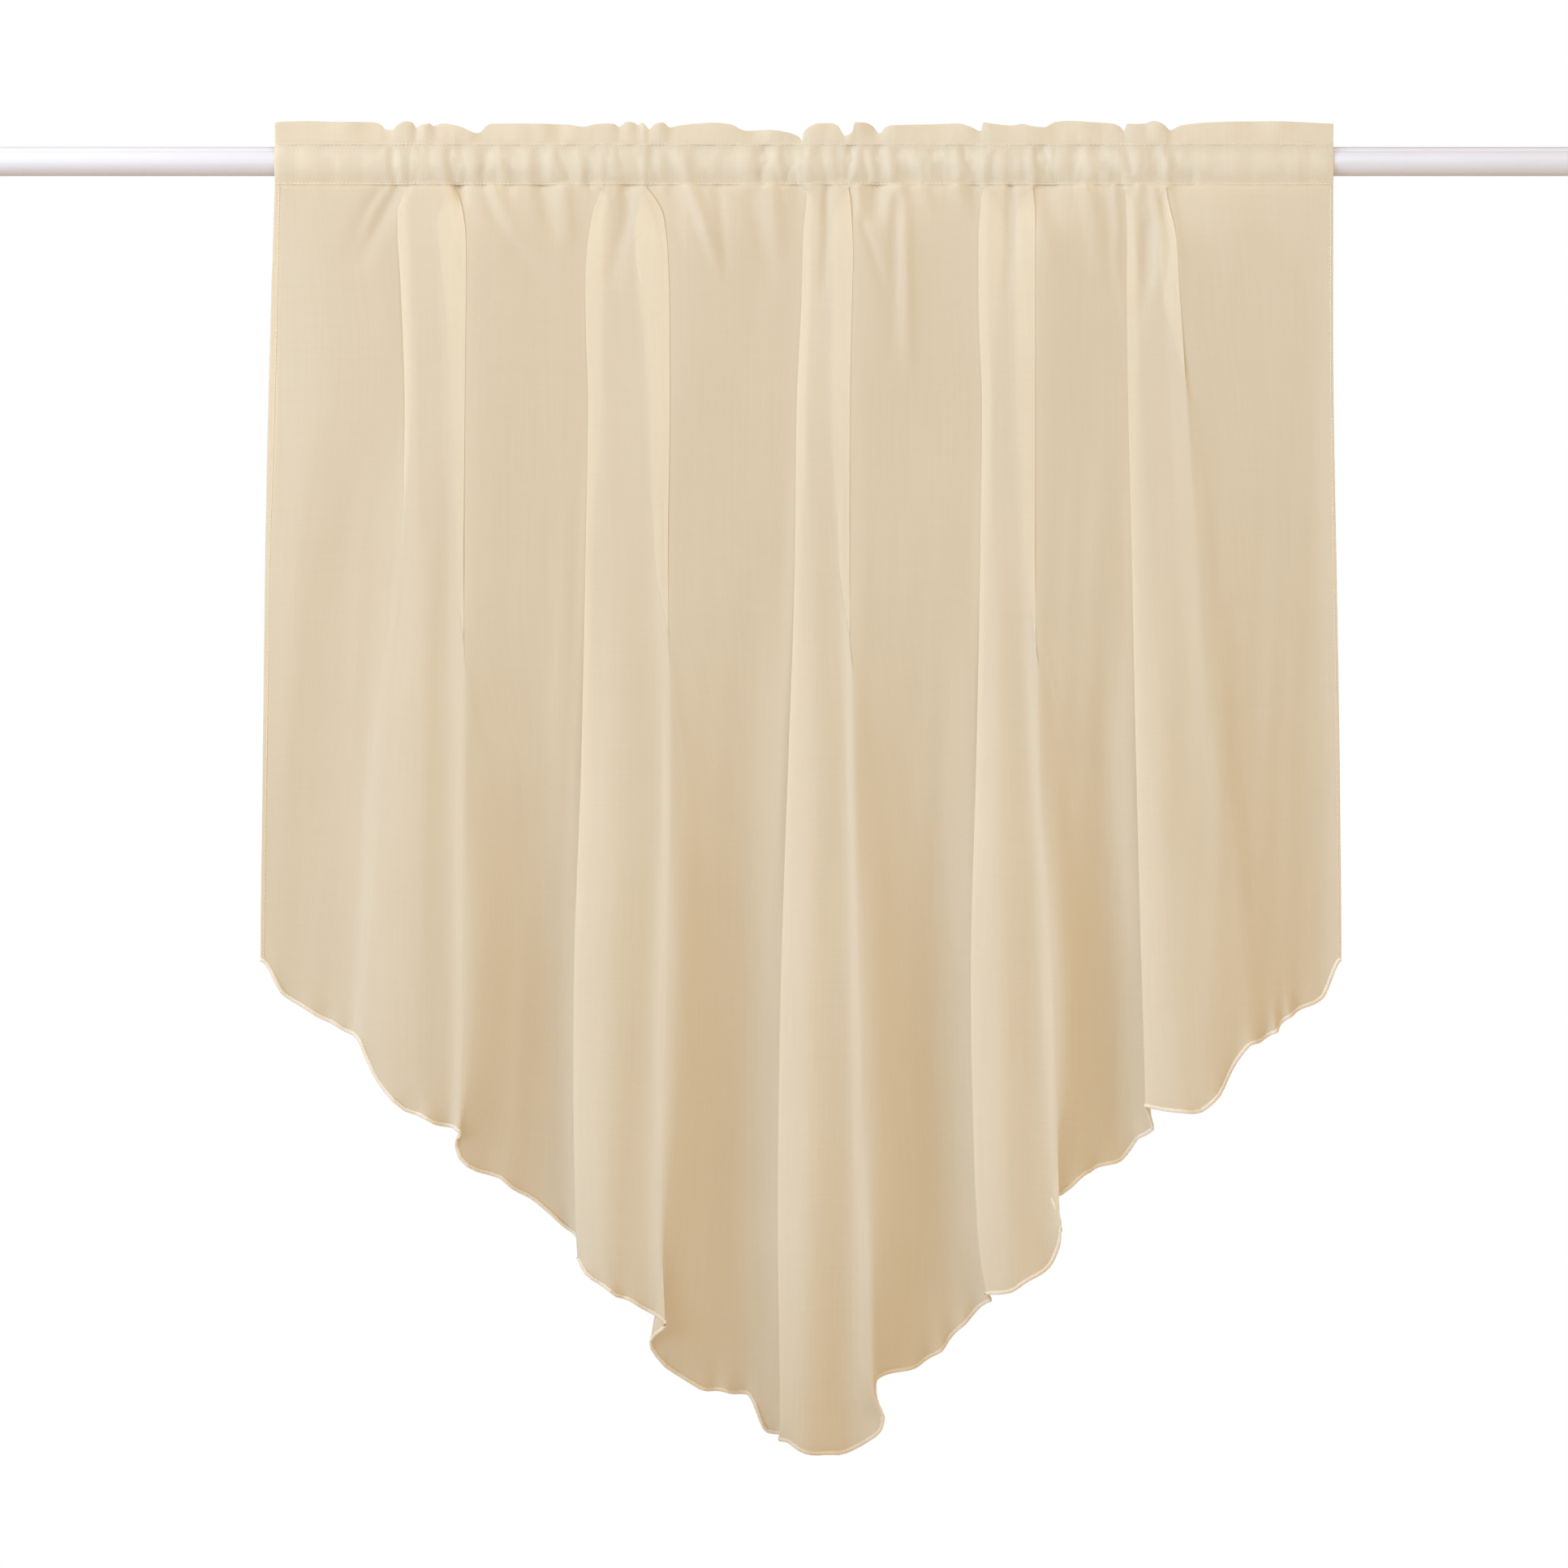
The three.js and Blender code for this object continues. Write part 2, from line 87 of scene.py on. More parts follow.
# One row for each front fold, from left to right. left, dip and right are x at each drop: the fold's two edges
# and the soft trough between them. tuckLeft and tuckRight say how far the cloth runs back behind that edge
# before it turns again; below zero the edge is a soft ridge instead. hem is the drop of the cut edge at each
# station of the fold and at the valley after it. own holds forward distances that differ from the shared ones.
FOLDS = [
    {
        "left": [-282, -286, -290, -290, -289, -287.5, -286, -284.5, -286, -287.77, -291.72, -296.33, -300, -310, -314, -319, -320, -320.74, -321],
        "dip": [-266, -265, -263, -262, -260, -259, -257.5, -256.5, -254, -254, -254, -254, -254, -254, -254, -253, -253, -253, -253],
        "right": [-248, -243.5, -240.5, -238.5, -238, -238, -238.5, -239, -240, -239.87, -239.52, -239.16, -239, -239, -241, -250, -252, -252.77, -253],
        "tuckLeft": [-3, 4, 7.5, 8, 8, 7, 6, 5, -2, -2.98, -4.01, -4.74, -5, -5, -5, -5, -5, -5, -5],
        "tuckRight": [-3, 11, 20, 22, 20.5, 17, 14, 11, 5, 3, -2, -5.5, -8, -12, -9, 14, 18, 18, 18],
        "footOut": [9, 7, 4, 1, -1, -2, -2, -1, 8, 9.81, 11.87, 13.42, 14, 14, 14, 14, 14, 14, 14],
        "troughOut": [9, 6, 3, 0.5, -0.5, -0.5, -0.5, -0.5, 1, 0.5, 8, 15, 28, 38, 37, 34, 34, 34, 34],
        "crownShare": [0.3, 0.3, 0.3, 0.3, 0.3, 0.3, 0.3, 0.3, 0.45, 0.49, 0.53, 0.57, 0.6, 0.65, 0.65, 0.65, 0.65, 0.65, 0.65],
        "valleyShare": 0.74,
        "depth": 0.85,
        "own": {
            "foot": [0, -0.2, -0.5, -0.8, -1, -1.2, -1.3, -1, -0.8, -0.83, -0.9, -0.97, -1, 0, 0, 0, 0, 0, 0],
            "tuckLeft": [0.45, 0.5, 0.5, 0.4, 0.4, 0.3, 0.3, 0.4, 0.75, 1.2, 1.7, 2.3, 2.9, 5.3, 6, 6, 6, 6, 6],
        },
        "hem": {"foot": 654, "tuckLeft": 660, "left": 671, "crown": 715, "dip": 724, "right": 727.5, "tuckRight": 733, "trough": 763, "valley": 787},
    },
    {
        "left": [-136, -139.5, -143.5, -146, -148, -149, -148.5, -147, -149, -149.6, -150.33, -151.13, -152, -157, -157.5, -156, -154, -153.23, -153],
        "dip": [-122, -118, -114, -112, -110, -109, -107.5, -105, -101, -100.12, -99.08, -98.3, -98, -104, -106, -109, -109, -109, -109],
        "right": [-104, -97.5, -91, -88.5, -87, -86, -85.5, -85.5, -87, -86.74, -86.04, -85.31, -85, -87, -88.5, -91, -88.5, -87.36, -87],
        "tuckLeft": [-3, 8, 15.5, 18, 18, 16.5, 14, 11, 6, 5.64, 5.3, 5.08, 5, 5, 5, 5, 5, 5, 5],
        "tuckRight": [-3, 11, 20, 25, 27, 25, 20.5, 17, 10, 3, -2, -5.5, -8, -10, -10, -6, 11, 19.35, 22],
        "depth": 1.0,
        "hem": {"foot": 803, "tuckLeft": 815, "left": 824, "crown": 844, "dip": 861, "right": 872, "tuckRight": 885, "trough": 921, "valley": 927},
    },
    {
        "left": [16, 17, 16, 14.5, 14, 13.4, 12, 9.5, 8, 7.2, 5.86, 4.36, 3, -2, -3.5, -4.5, -3.5, -3, -3],
        "dip": [32, 33, 34, 34, 33.5, 33, 32, 33, 39, 40.21, 41.58, 42.62, 43, 43, 43, 43, 41, 39.52, 39],
        "right": [48, 49.5, 50.5, 51.2, 51.7, 51.2, 50.3, 49.4, 49, 49.24, 49.99, 51.01, 52, 57, 59, 63.5, 66, 67, 74.5],
        "tuckLeft": [-3, 7, 12, 14, 14, 13.4, 11.6, 10, 6, 5.65, 5.31, 5.08, 5, 5, 5, 5, 5, 4, 3],
        "tuckRight": [-3, 7, 13, 16, 16.6, 15.5, 15, 13, 8, 3, -2, -5.5, -8, -10, -10, -9, -6, -2, 11],
        "footOut": [9, 7, 4, 1, -1, -2, -2, -1, 6, 6, 6, 6, 6, 6, 6, 6, 7, 9, 9],
        "depth": 1.0,
        "own": {
            "dip": [1.3, 2.3, 3.3, 4.3, 4.6, 4.7, 4.7, 4.7, 4.6, 5.07, 6.49, 8.29, 9.8, 14.6, 14.8, 14, 12.6, 11.8, 10.5],
        },
        "hem": {"foot": 954, "tuckLeft": 957.6, "left": 958.2, "crown": 966.5, "dip": 965.5, "right": 941, "tuckRight": 913, "trough": 907, "valley": 882},
    },
    {
        "left": [150, 148, 147, 146, 145.8, 145.8, 146.5, 148.5, 147, 146.45, 145.69, 144.84, 144, 140, 141, 144.5, 154, 157.11, 158],
        "dip": [167, 167, 167, 167, 167, 168, 169, 171, 174, 174.98, 176.23, 177.6, 179, 186, 189, 192, 193, 193, 193],
        "right": [186.5, 187.3, 188, 188, 188, 188, 188, 188, 188, 188.3, 189.25, 190.6, 192, 201, 203.5, 206, 212, 213.58, 214],
        "tuckLeft": [-3, 10, 18, 22, 22.5, 18.5, 12.5, 8, 6, 5.68, 5.34, 5.09, 5, 5, 5, 5, 5, 5, 5],
        "tuckRight": [-3, 8, 13, 15, 15.2, 15.2, 15, 14, 7, 3, -2, -5.5, -8, -10, -8, 5, 6, 6, 6],
        "troughOut": [9, 6, 3, 0.5, -0.5, -0.5, -0.5, -0.5, -0.4, 0.5, 8, 15, 20, 27, 27, 25, 22, 20.49, 20],
        "depth": 1.0,
        "hem": {"foot": 862, "tuckLeft": 855, "left": 850, "crown": 846.5, "dip": 828, "right": 802, "tuckRight": 778, "trough": 757.6, "valley": 750},
    },
    {
        "left": [256, 256.5, 257, 257.4, 257.4, 257, 257.3, 258, 261, 261.69, 262.45, 263.2, 264, 268, 270.5, 274, 275, 275, 275],
        "dip": [272, 273, 275, 277, 279, 283, 286, 290, 293, 294.33, 296.36, 298.68, 301, 312, 316, 321, 321, 321, 321],
        "right": [286, 287.3, 290, 293, 294.7, 296, 298.5, 301.5, 310, 312.65, 315.97, 319.49, 323, 339, 341.5, 345, 345, 345, 345],
        "tuckLeft": [-3, 4, 8, 9.8, 9, 10.5, 9.8, 8, 6, 5.71, 5.42, 5.18, 5, 4.5, 4, 4, 4, 4, 4],
        "tuckRight": [-3, 4, 8, 11, 13.4, 14, 8, -4, -8, -8.35, -8.69, -8.92, -9, -9, -9, -9, -9, -9, -9],
        "troughOut": [9, 6, 3, 0.5, -0.5, -0.5, 1, 12, 20, 20.7, 21.39, 21.84, 22, 22, 22, 22, 22, 22, 22],
        "valleyShare": 0.66,
        "depth": 0.85,
        "own": {
            "right": [1, 3, 5.2, 7.4, 8, 7.8, 7.2, 6.6, 5.4, 5.73, 6.65, 7.59, 8, 7.5, 7.5, 7.5, 7.5, 7.5, 7.5],
            "tuckRight": [0.6, 1.6, 2.3, 3.1, 3.2, 3.3, 4.8, 5.4, 4.2, 4.35, 4.78, 5.21, 5.4, 4.6, 4.6, 4.6, 4.6, 4.6, 4.6],
            "trough": [0.2, 2.3, 4.6, 7, 7.65, 7.45, 6.6, 4, 1, 0.54, 0.09, -0.29, -0.6, -1.5, -1.5, -1.5, -1.5, -1.5, -1.5],
            "valley": [0, 0.3, 0.6, 1, 1, 0.8, 0.3, -0.8, -5, -6.03, -7.23, -8.28, -9, -10.5, -10.5, -10.5, -10.5, -10.5, -10.5],
        },
        "hem": {"foot": 734.4, "tuckLeft": 726.5, "left": 709, "crown": 712.5, "dip": 700, "right": 673, "tuckRight": 662, "trough": 658, "valley": 640},
    },
]

# How far forward of the rod's axis each kind of station hangs, at each drop.
FORWARD = {
    "foot": [0, 0, 0, 0, 0, 0, -0.1, -0.2, -0.6, -0.7, -1, -1.8, -3.1, -9.3, -11.2, -13, -13, -13, -13],
    "tuckLeft": [0.45, 0.7, 1, 1.4, 1.6, 1.6, 1.5, 1.4, 1, 0.7, 0.2, -0.5, -1.2, -3.4, -4.2, -4.8, -4.8, -4.8, -4.8],
    "left": [0.9, 0.7, 0.55, 0.4, 0.4, 0.4, 0.5, 0.7, 1.4, 1.97, 3.11, 4.44, 5.6, 9.5, 10, 10, 10, 10, 10],
    "crown": [1.2, 1.8, 2.4, 3, 3.3, 3.4, 3.5, 3.8, 4.8, 5.69, 7.52, 9.69, 11.6, 18.2, 19.4, 20.2, 20.2, 20.2, 20.2],
    "dip": [1.3, 2.3, 3.3, 4.3, 4.6, 4.7, 4.7, 4.7, 4.6, 5.07, 6.49, 8.29, 9.8, 14.6, 15.2, 15.6, 15.6, 15.6, 15.6],
    "right": [1.1, 3.4, 6, 8.6, 9.4, 9.4, 9.2, 8.9, 7.8, 8.19, 9.38, 10.95, 12.4, 18, 18.4, 18.8, 18.8, 18.8, 18.8],
    "tuckRight": [0.7, 1.8, 2.7, 3.5, 3.8, 3.9, 4, 4.3, 4.6, 7.2, 9.5, 10.1, 10.4, 16.2, 16.4, 16, 14, 12.52, 12],
    "trough": [0.2, 2.6, 5.4, 8.2, 9.05, 9.05, 8.85, 8.5, 7.3, 8.1, 8.4, 6.7, 4.6, 1.6, 0.4, -0.8, -2.4, -3.58, -4],
    "valley": [0, 0.8, 1.5, 2.2, 2.4, 2.4, 2.3, 2.1, 1.4, 0.66, -0.95, -2.9, -4.6, -10.5, -12.5, -14.5, -14.5, -14.5, -14.5],
}
SIDE_FORWARD = {
    "leftEdge": [0, -1, -2, -3, -4, -5.2, -6.6, -7.6, -8, -7.67, -6.74, -5.68, -5, -4, -4, -4, -4, -4, -4],
    "leftMargin": [0, 0, 0, -0.1, -0.2, -0.5, -1, -1.6, -3.2, -3.31, -3.41, -3.48, -3.5, -3.5, -3.5, -3.5, -3.5, -3.5, -3.5],
    "leftValley": [0, -0.2, -0.4, -0.5, -0.6, -0.6, -0.6, -1.2, -4, -4.18, -4.35, -4.46, -4.5, -3.5, -3, -3, -3, -3, -3],
    "rightMargin": [0, -0.2, -0.4, -0.6, -0.8, -1.2, -2, -3.6, -8, -9.37, -11.12, -12.77, -14, -17, -17, -17, -17, -17, -17],
    "rightEdge": [0, -0.2, -0.4, -0.5, -0.6, -0.8, -1.2, -2.2, -5.6, -6.98, -8.95, -10.92, -12.4, -16, -16, -16, -16, -16, -16],
}
# Drop of the cut edge at places between the stations: (station number, drop).
HEM_BETWEEN = [
    (5.3, 690), (5.6, 704), (9.2, 741), (9.4, 751), (9.7, 758), (10.3, 771), (10.7, 779),
    (18.25, 893), (18.5, 904), (18.75, 913),
    (24.35, 968.5), (24.7, 968.5), (25.4, 958.5), (25.75, 951), (27.4, 910), (28.5, 899),
    (33.4, 839.5), (34.5, 816), (36.3, 776), (36.5, 770), (36.65, 763.5), (36.8, 759), (42.5, 713),
]
SIDE_HEM = {"leftEdge": 600, "leftMargin": 625, "leftValley": 639, "rightMargin": 629, "rightEdge": 600}
RIGHT_MARGIN = 15
FOOT_OUT = [9, 7, 4, 1, -1, -2, -2, -1, 6, 6, 6, 6, 6, 6, 6, 6, 6, 6, 6]  # valley floor outside a fold's left edge, at each drop
TROUGH_OUT = [9, 6, 3, 0.5, -0.5, -0.5, -0.5, -0.5, -0.4, 0.5, 8, 16, 24, 33, 34, 34, 28, 23.57, 22]  # and outside its right edge
CROWN_SHARE = [0.3, 0.3, 0.3, 0.3, 0.3, 0.3, 0.3, 0.3, 0.4, 0.42, 0.43, 0.45, 0.45, 0.45, 0.45, 0.45, 0.45, 0.45, 0.45]
DIP_SHIFT = [0, 0, 0, 0, 0, 0, 0, 0, 0.2, 0.24, 0.3, 0.34, 0.35, 0.35, 0.35, 0.35, 0.35, 0.35, 0.35]
VALLEY_SHARE = 0.7  # lowest line of a valley, from a fold's right edge to the next fold's left edge

# Columns of the sheet from each kind of station to the next.
COLUMNS = {
    "leftEdge": 18, "leftMargin": 14, "leftValley": 16,
    "foot": 6, "tuckLeft": 9, "left": 10, "crown": 7, "dip": 10, "right": 9, "tuckRight": 6, "trough": 31, "valley": 31,
    "rightMargin": 18,
}

# ---------------------------------------------------------------- creases, listed one by one (mm)
# Each row is a line of (x, z) points as seen from the front, its half width, and how far it stands forward:
# above zero a ridge, below zero a trough.
BODY_CREASES = [
    # beside the first fold
    ([(-300.7, -17.7), (-313.5, -38.4), (-327.0, -72.6)], 3.4, -1.1),
    ([(-295.8, -18.9), (-308.7, -42.1), (-322.1, -70.1)], 2.6, 0.5),
    ([(-290.4, -21.3), (-302.6, -44.5), (-318.4, -73.8)], 4.4, -2.0),
    # between the first and second folds
    ([(-244.0, -16.5), (-240.9, -31.1)], 2.7, -4.0),
    ([(-226.3, -16.5), (-217.2, -42.1), (-198.9, -68.9), (-181.8, -92.1)], 3.4, -1.7),
    ([(-220.8, -17.7), (-212.3, -36.0), (-202.5, -55.5)], 4.3, 1.6),
    ([(-206.8, -15.2), (-206.2, -26.2)], 2.4, -1.4),
    ([(-181.8, -18.9), (-178.1, -36.0), (-173.8, -53.1)], 4.9, -2.4),
    ([(-165.9, -21.3), (-161.7, -56.7)], 4.3, 1.3),
    # on the second fold
    ([(-118.3, -22.6), (-117.1, -42.1), (-123.2, -64.0), (-129.9, -87.2)], 3.7, -2.6),
    ([(-130.5, -28.7), (-136.6, -55.5)], 3.0, 0.7),
    ([(-108.6, -22.6), (-101.3, -38.4), (-96.4, -61.6)], 3.0, 0.8),
    # between the second and third folds
    ([(-81.7, -25.0), (-78.1, -61.6)], 4.9, -1.2),
    ([(-78.1, 5.5), (-72.0, -17.7), (-63.4, -38.4), (-56.1, -62.8), (-48.8, -83.6)], 3.7, 2.6),
    ([(-49.4, -20.1), (-46.4, -50.6), (-44.5, -81.1)], 2.7, -1.4),
    ([(-68.9, -44.5), (-59.8, -65.3), (-50.0, -84.8)], 2.7, -1.0),
    ([(-23.2, -31.1), (-15.9, -61.6), (-11.0, -86.0)], 4.9, -1.5),
    ([(-9.8, -18.9), (-7.3, -38.4), (-5.5, -64.0)], 4.9, 2.0),
    ([(11.0, -17.7), (12.2, -31.1)], 3.7, -1.4),
    # on the third fold and to its right
    ([(32.3, -22.6), (31.7, -61.6), (29.3, -98.2)], 2.4, -2.2),
    ([(54.9, -17.7), (57.3, -42.1)], 2.7, 1.7),
    ([(58.6, -47.0), (65.9, -67.7), (76.9, -104.3)], 2.1, -1.3),
    ([(69.5, -17.7), (69.5, -42.1)], 4.3, -3.2),
    ([(84.2, -16.5), (79.3, -28.7), (76.9, -43.3)], 3.7, 1.7),
    ([(86.0, -31.1), (83.6, -61.6), (82.3, -134.8)], 3.7, -1.6),
    ([(88.5, -17.7), (90.3, -55.5), (91.5, -93.3), (93.3, -147.0)], 3.4, 2.0),
    ([(102.5, -17.7), (106.1, -28.7), (111.0, -42.1)], 4.3, 1.2),
    ([(129.3, -17.7), (132.4, -27.4), (137.9, -38.4)], 4.3, 1.5),
    ([(141.5, -18.9), (146.4, -34.8)], 3.7, -1.8),
    # on the fourth fold and to its right
    ([(170.8, -18.9), (170.8, -61.6), (168.4, -92.1)], 2.4, -2.4),
    ([(192.8, -16.5), (203.7, -42.1)], 5.5, -2.2),
    ([(189.7, -44.5), (201.3, -76.2)], 4.9, 1.0),
    ([(225.7, -17.7), (230.6, -38.4), (234.2, -61.6), (236.7, -86.0)], 5.2, 1.7),
    ([(238.5, -18.9), (245.2, -61.6)], 4.2, -0.6),
    # on the fifth fold
    ([(247.0, -17.7), (250.1, -48.2), (248.3, -68.9), (253.2, -101.3), (256.2, -117.7)], 3.0, 1.0),
    ([(254.4, -18.9), (256.2, -49.4)], 2.6, -0.8),
    ([(267.2, -18.9), (262.3, -38.4)], 2.7, 1.2),
    ([(272.4, -50.6), (272.1, -92.1), (267.8, -112.8)], 3.9, -2.5),
    ([(276.9, -21.3), (281.8, -55.5), (281.2, -88.5), (272.1, -112.4)], 2.1, 2.0),
    ([(284.9, -31.1), (291.0, -75.0)], 2.4, -1.0),
    ([(287.3, -21.3), (294.0, -60.4), (297.7, -122.6)], 3.0, 1.4),
    # slack of the right-hand side
    ([(312.3, -25.0), (335.5, -43.3), (355.6, -70.8), (377.6, -100.0), (386.7, -134.8)], 9.8, 1.2),
    ([(302.6, -37.2), (319.6, -79.9), (325.7, -134.8)], 9.8, -1.2),
]
POCKET_CREASES = [
    ([(-337.3, -3.7), (-336.7, -12.8)], 3.0, -1.3),
    ([(-314.8, -1.8), (-314.1, -12.2)], 3.7, -1.1),
    ([(-300.1, 7.9), (-297.7, -16.5)], 2.4, 1.3),
    ([(-294.0, 5.5), (-292.8, -14.0)], 2.4, -1.6),
    ([(-287.9, 7.9), (-287.9, -14.0)], 2.4, 1.2),
    ([(-280.6, 7.9), (-281.2, -20.1)], 2.4, -1.7),
    ([(-266.0, 6.7), (-263.5, -14.0)], 2.4, -1.2),
    ([(-256.8, 7.9), (-255.0, -14.0)], 2.4, 1.2),
    ([(-250.7, 4.3), (-247.0, -17.7)], 2.6, -2.4),
    ([(-242.2, -3.0), (-240.3, -14.0)], 3.7, -1.6),
    ([(-233.0, 6.7), (-231.8, -15.2)], 3.0, 1.3),
    ([(-221.4, 7.9), (-225.1, -7.9)], 2.1, -2.2),
    ([(-224.5, -12.2), (-215.9, -14.0)], 2.4, -1.4),
    ([(-213.5, 6.7), (-209.8, -15.2)], 3.0, 1.4),
    ([(-206.8, -3.0), (-203.1, -10.4), (-195.8, -14.0)], 3.0, -1.8),
    ([(-191.5, 6.7), (-191.5, -15.2)], 3.0, 1.2),
    ([(-184.2, 1.8), (-181.8, -14.0)], 3.0, -1.8),
    ([(-173.8, 6.7), (-172.6, -15.2)], 3.0, 1.2),
    ([(-169.0, 1.8), (-160.4, -12.8)], 2.4, -1.8),
    ([(-154.3, 6.7), (-152.5, -15.2)], 3.0, 1.1),
    ([(-147.0, 0.6), (-143.3, -13.4)], 3.0, -1.7),
    ([(-137.9, 6.7), (-136.6, -16.5)], 2.4, 0.5),
    ([(-132.4, 7.9), (-131.8, -9.2)], 2.4, -1.0),
    ([(-124.4, 7.9), (-123.2, -6.7)], 2.1, -1.6),
    ([(-119.6, -3.0), (-115.9, -17.7)], 2.4, -1.8),
    ([(-110.4, -0.6), (-109.8, -20.1)], 2.1, -2.0),
    ([(-104.9, 6.7), (-105.5, -16.5)], 2.4, 0.5),
    ([(-99.4, 9.2), (-100.6, -17.7)], 3.0, -1.5),
    ([(-92.1, 6.7), (-92.7, -14.0)], 2.4, 1.2),
    ([(-84.2, -3.0), (-78.1, -10.4)], 3.0, -1.7),
    ([(-64.7, -1.8), (-57.3, -12.8)], 4.9, -1.4),
    ([(-46.4, -5.5), (-37.8, -12.8)], 4.9, -1.2),
    ([(-27.4, 5.5), (-27.4, -17.7)], 4.3, 1.7),
    ([(-14.6, 6.7), (-16.5, -10.4)], 3.0, -2.6),
    ([(-6.1, 5.5), (-3.7, -10.4)], 2.4, 1.2),
    ([(5.5, 1.8), (6.7, -14.0)], 4.3, -1.8),
    ([(19.5, 7.9), (18.3, -17.7)], 3.7, 1.4),
    ([(28.7, 9.2), (31.7, -16.5)], 2.4, -1.8),
    ([(40.3, 6.7), (40.9, -12.8)], 2.1, -2.0),
    ([(50.0, 9.2), (48.2, -11.6)], 2.7, -3.2),
    ([(54.3, 5.5), (52.5, -10.4)], 2.7, 1.5),
    ([(59.2, 5.5), (63.4, -14.0)], 2.1, -1.6),
    ([(63.4, 6.7), (67.7, -14.0)], 2.1, 1.3),
    ([(72.0, 7.9), (73.2, -7.9)], 3.0, -2.2),
    ([(78.1, 6.7), (81.7, -14.0)], 2.7, 1.7),
    ([(85.4, 4.3), (89.7, -6.7), (98.2, -11.6)], 3.4, -3.2),
    ([(98.2, 6.7), (104.3, -15.2)], 3.0, 1.9),
    ([(112.2, 4.3), (116.5, -6.7), (124.4, -9.2)], 3.4, -2.8),
    ([(128.1, 6.7), (131.8, -15.2)], 3.0, 1.7),
    ([(134.8, 7.9), (142.7, -10.4)], 2.4, -2.6),
    ([(150.1, 7.9), (150.1, -16.5)], 2.4, 1.2),
    ([(156.8, 1.8), (156.2, -17.7)], 2.4, -2.2),
    ([(164.7, 7.9), (164.7, -15.2)], 2.4, 1.0),
    ([(171.4, 6.7), (170.8, -18.9)], 2.1, -2.0),
    ([(179.9, 7.9), (179.3, -14.0)], 1.8, -1.8),
    ([(185.4, 9.2), (186.7, -17.7)], 2.1, 1.6),
    ([(192.2, 5.5), (197.0, -7.9), (203.7, -15.2)], 4.0, -3.2),
    ([(209.2, 7.9), (206.2, -12.8)], 3.0, 1.6),
    ([(220.2, 7.9), (217.2, -7.9)], 3.0, -2.6),
    ([(226.3, 6.7), (231.2, -12.8)], 3.0, 1.7),
    ([(237.3, 7.9), (241.6, -4.3), (250.1, -12.2)], 3.0, -3.0),
    ([(248.9, 6.7), (256.2, -10.4)], 2.4, 1.5),
    ([(257.4, 7.9), (260.5, -7.9)], 2.1, -2.0),
    ([(266.0, 7.9), (267.2, -17.7)], 2.7, 1.3),
    ([(276.9, 7.9), (278.8, -10.4)], 2.4, -2.2),
    ([(282.4, 1.8), (283.0, -14.0)], 2.1, -1.6),
    ([(287.3, 6.7), (289.1, -15.2)], 2.4, 1.0),
    ([(291.0, 6.7), (294.6, -4.3), (305.0, -12.2)], 3.4, -2.4),
    ([(310.5, -2.4), (318.4, -10.4)], 4.9, -1.5),
    ([(376.4, 3.0), (368.4, -6.1)], 2.4, 0.7),
]
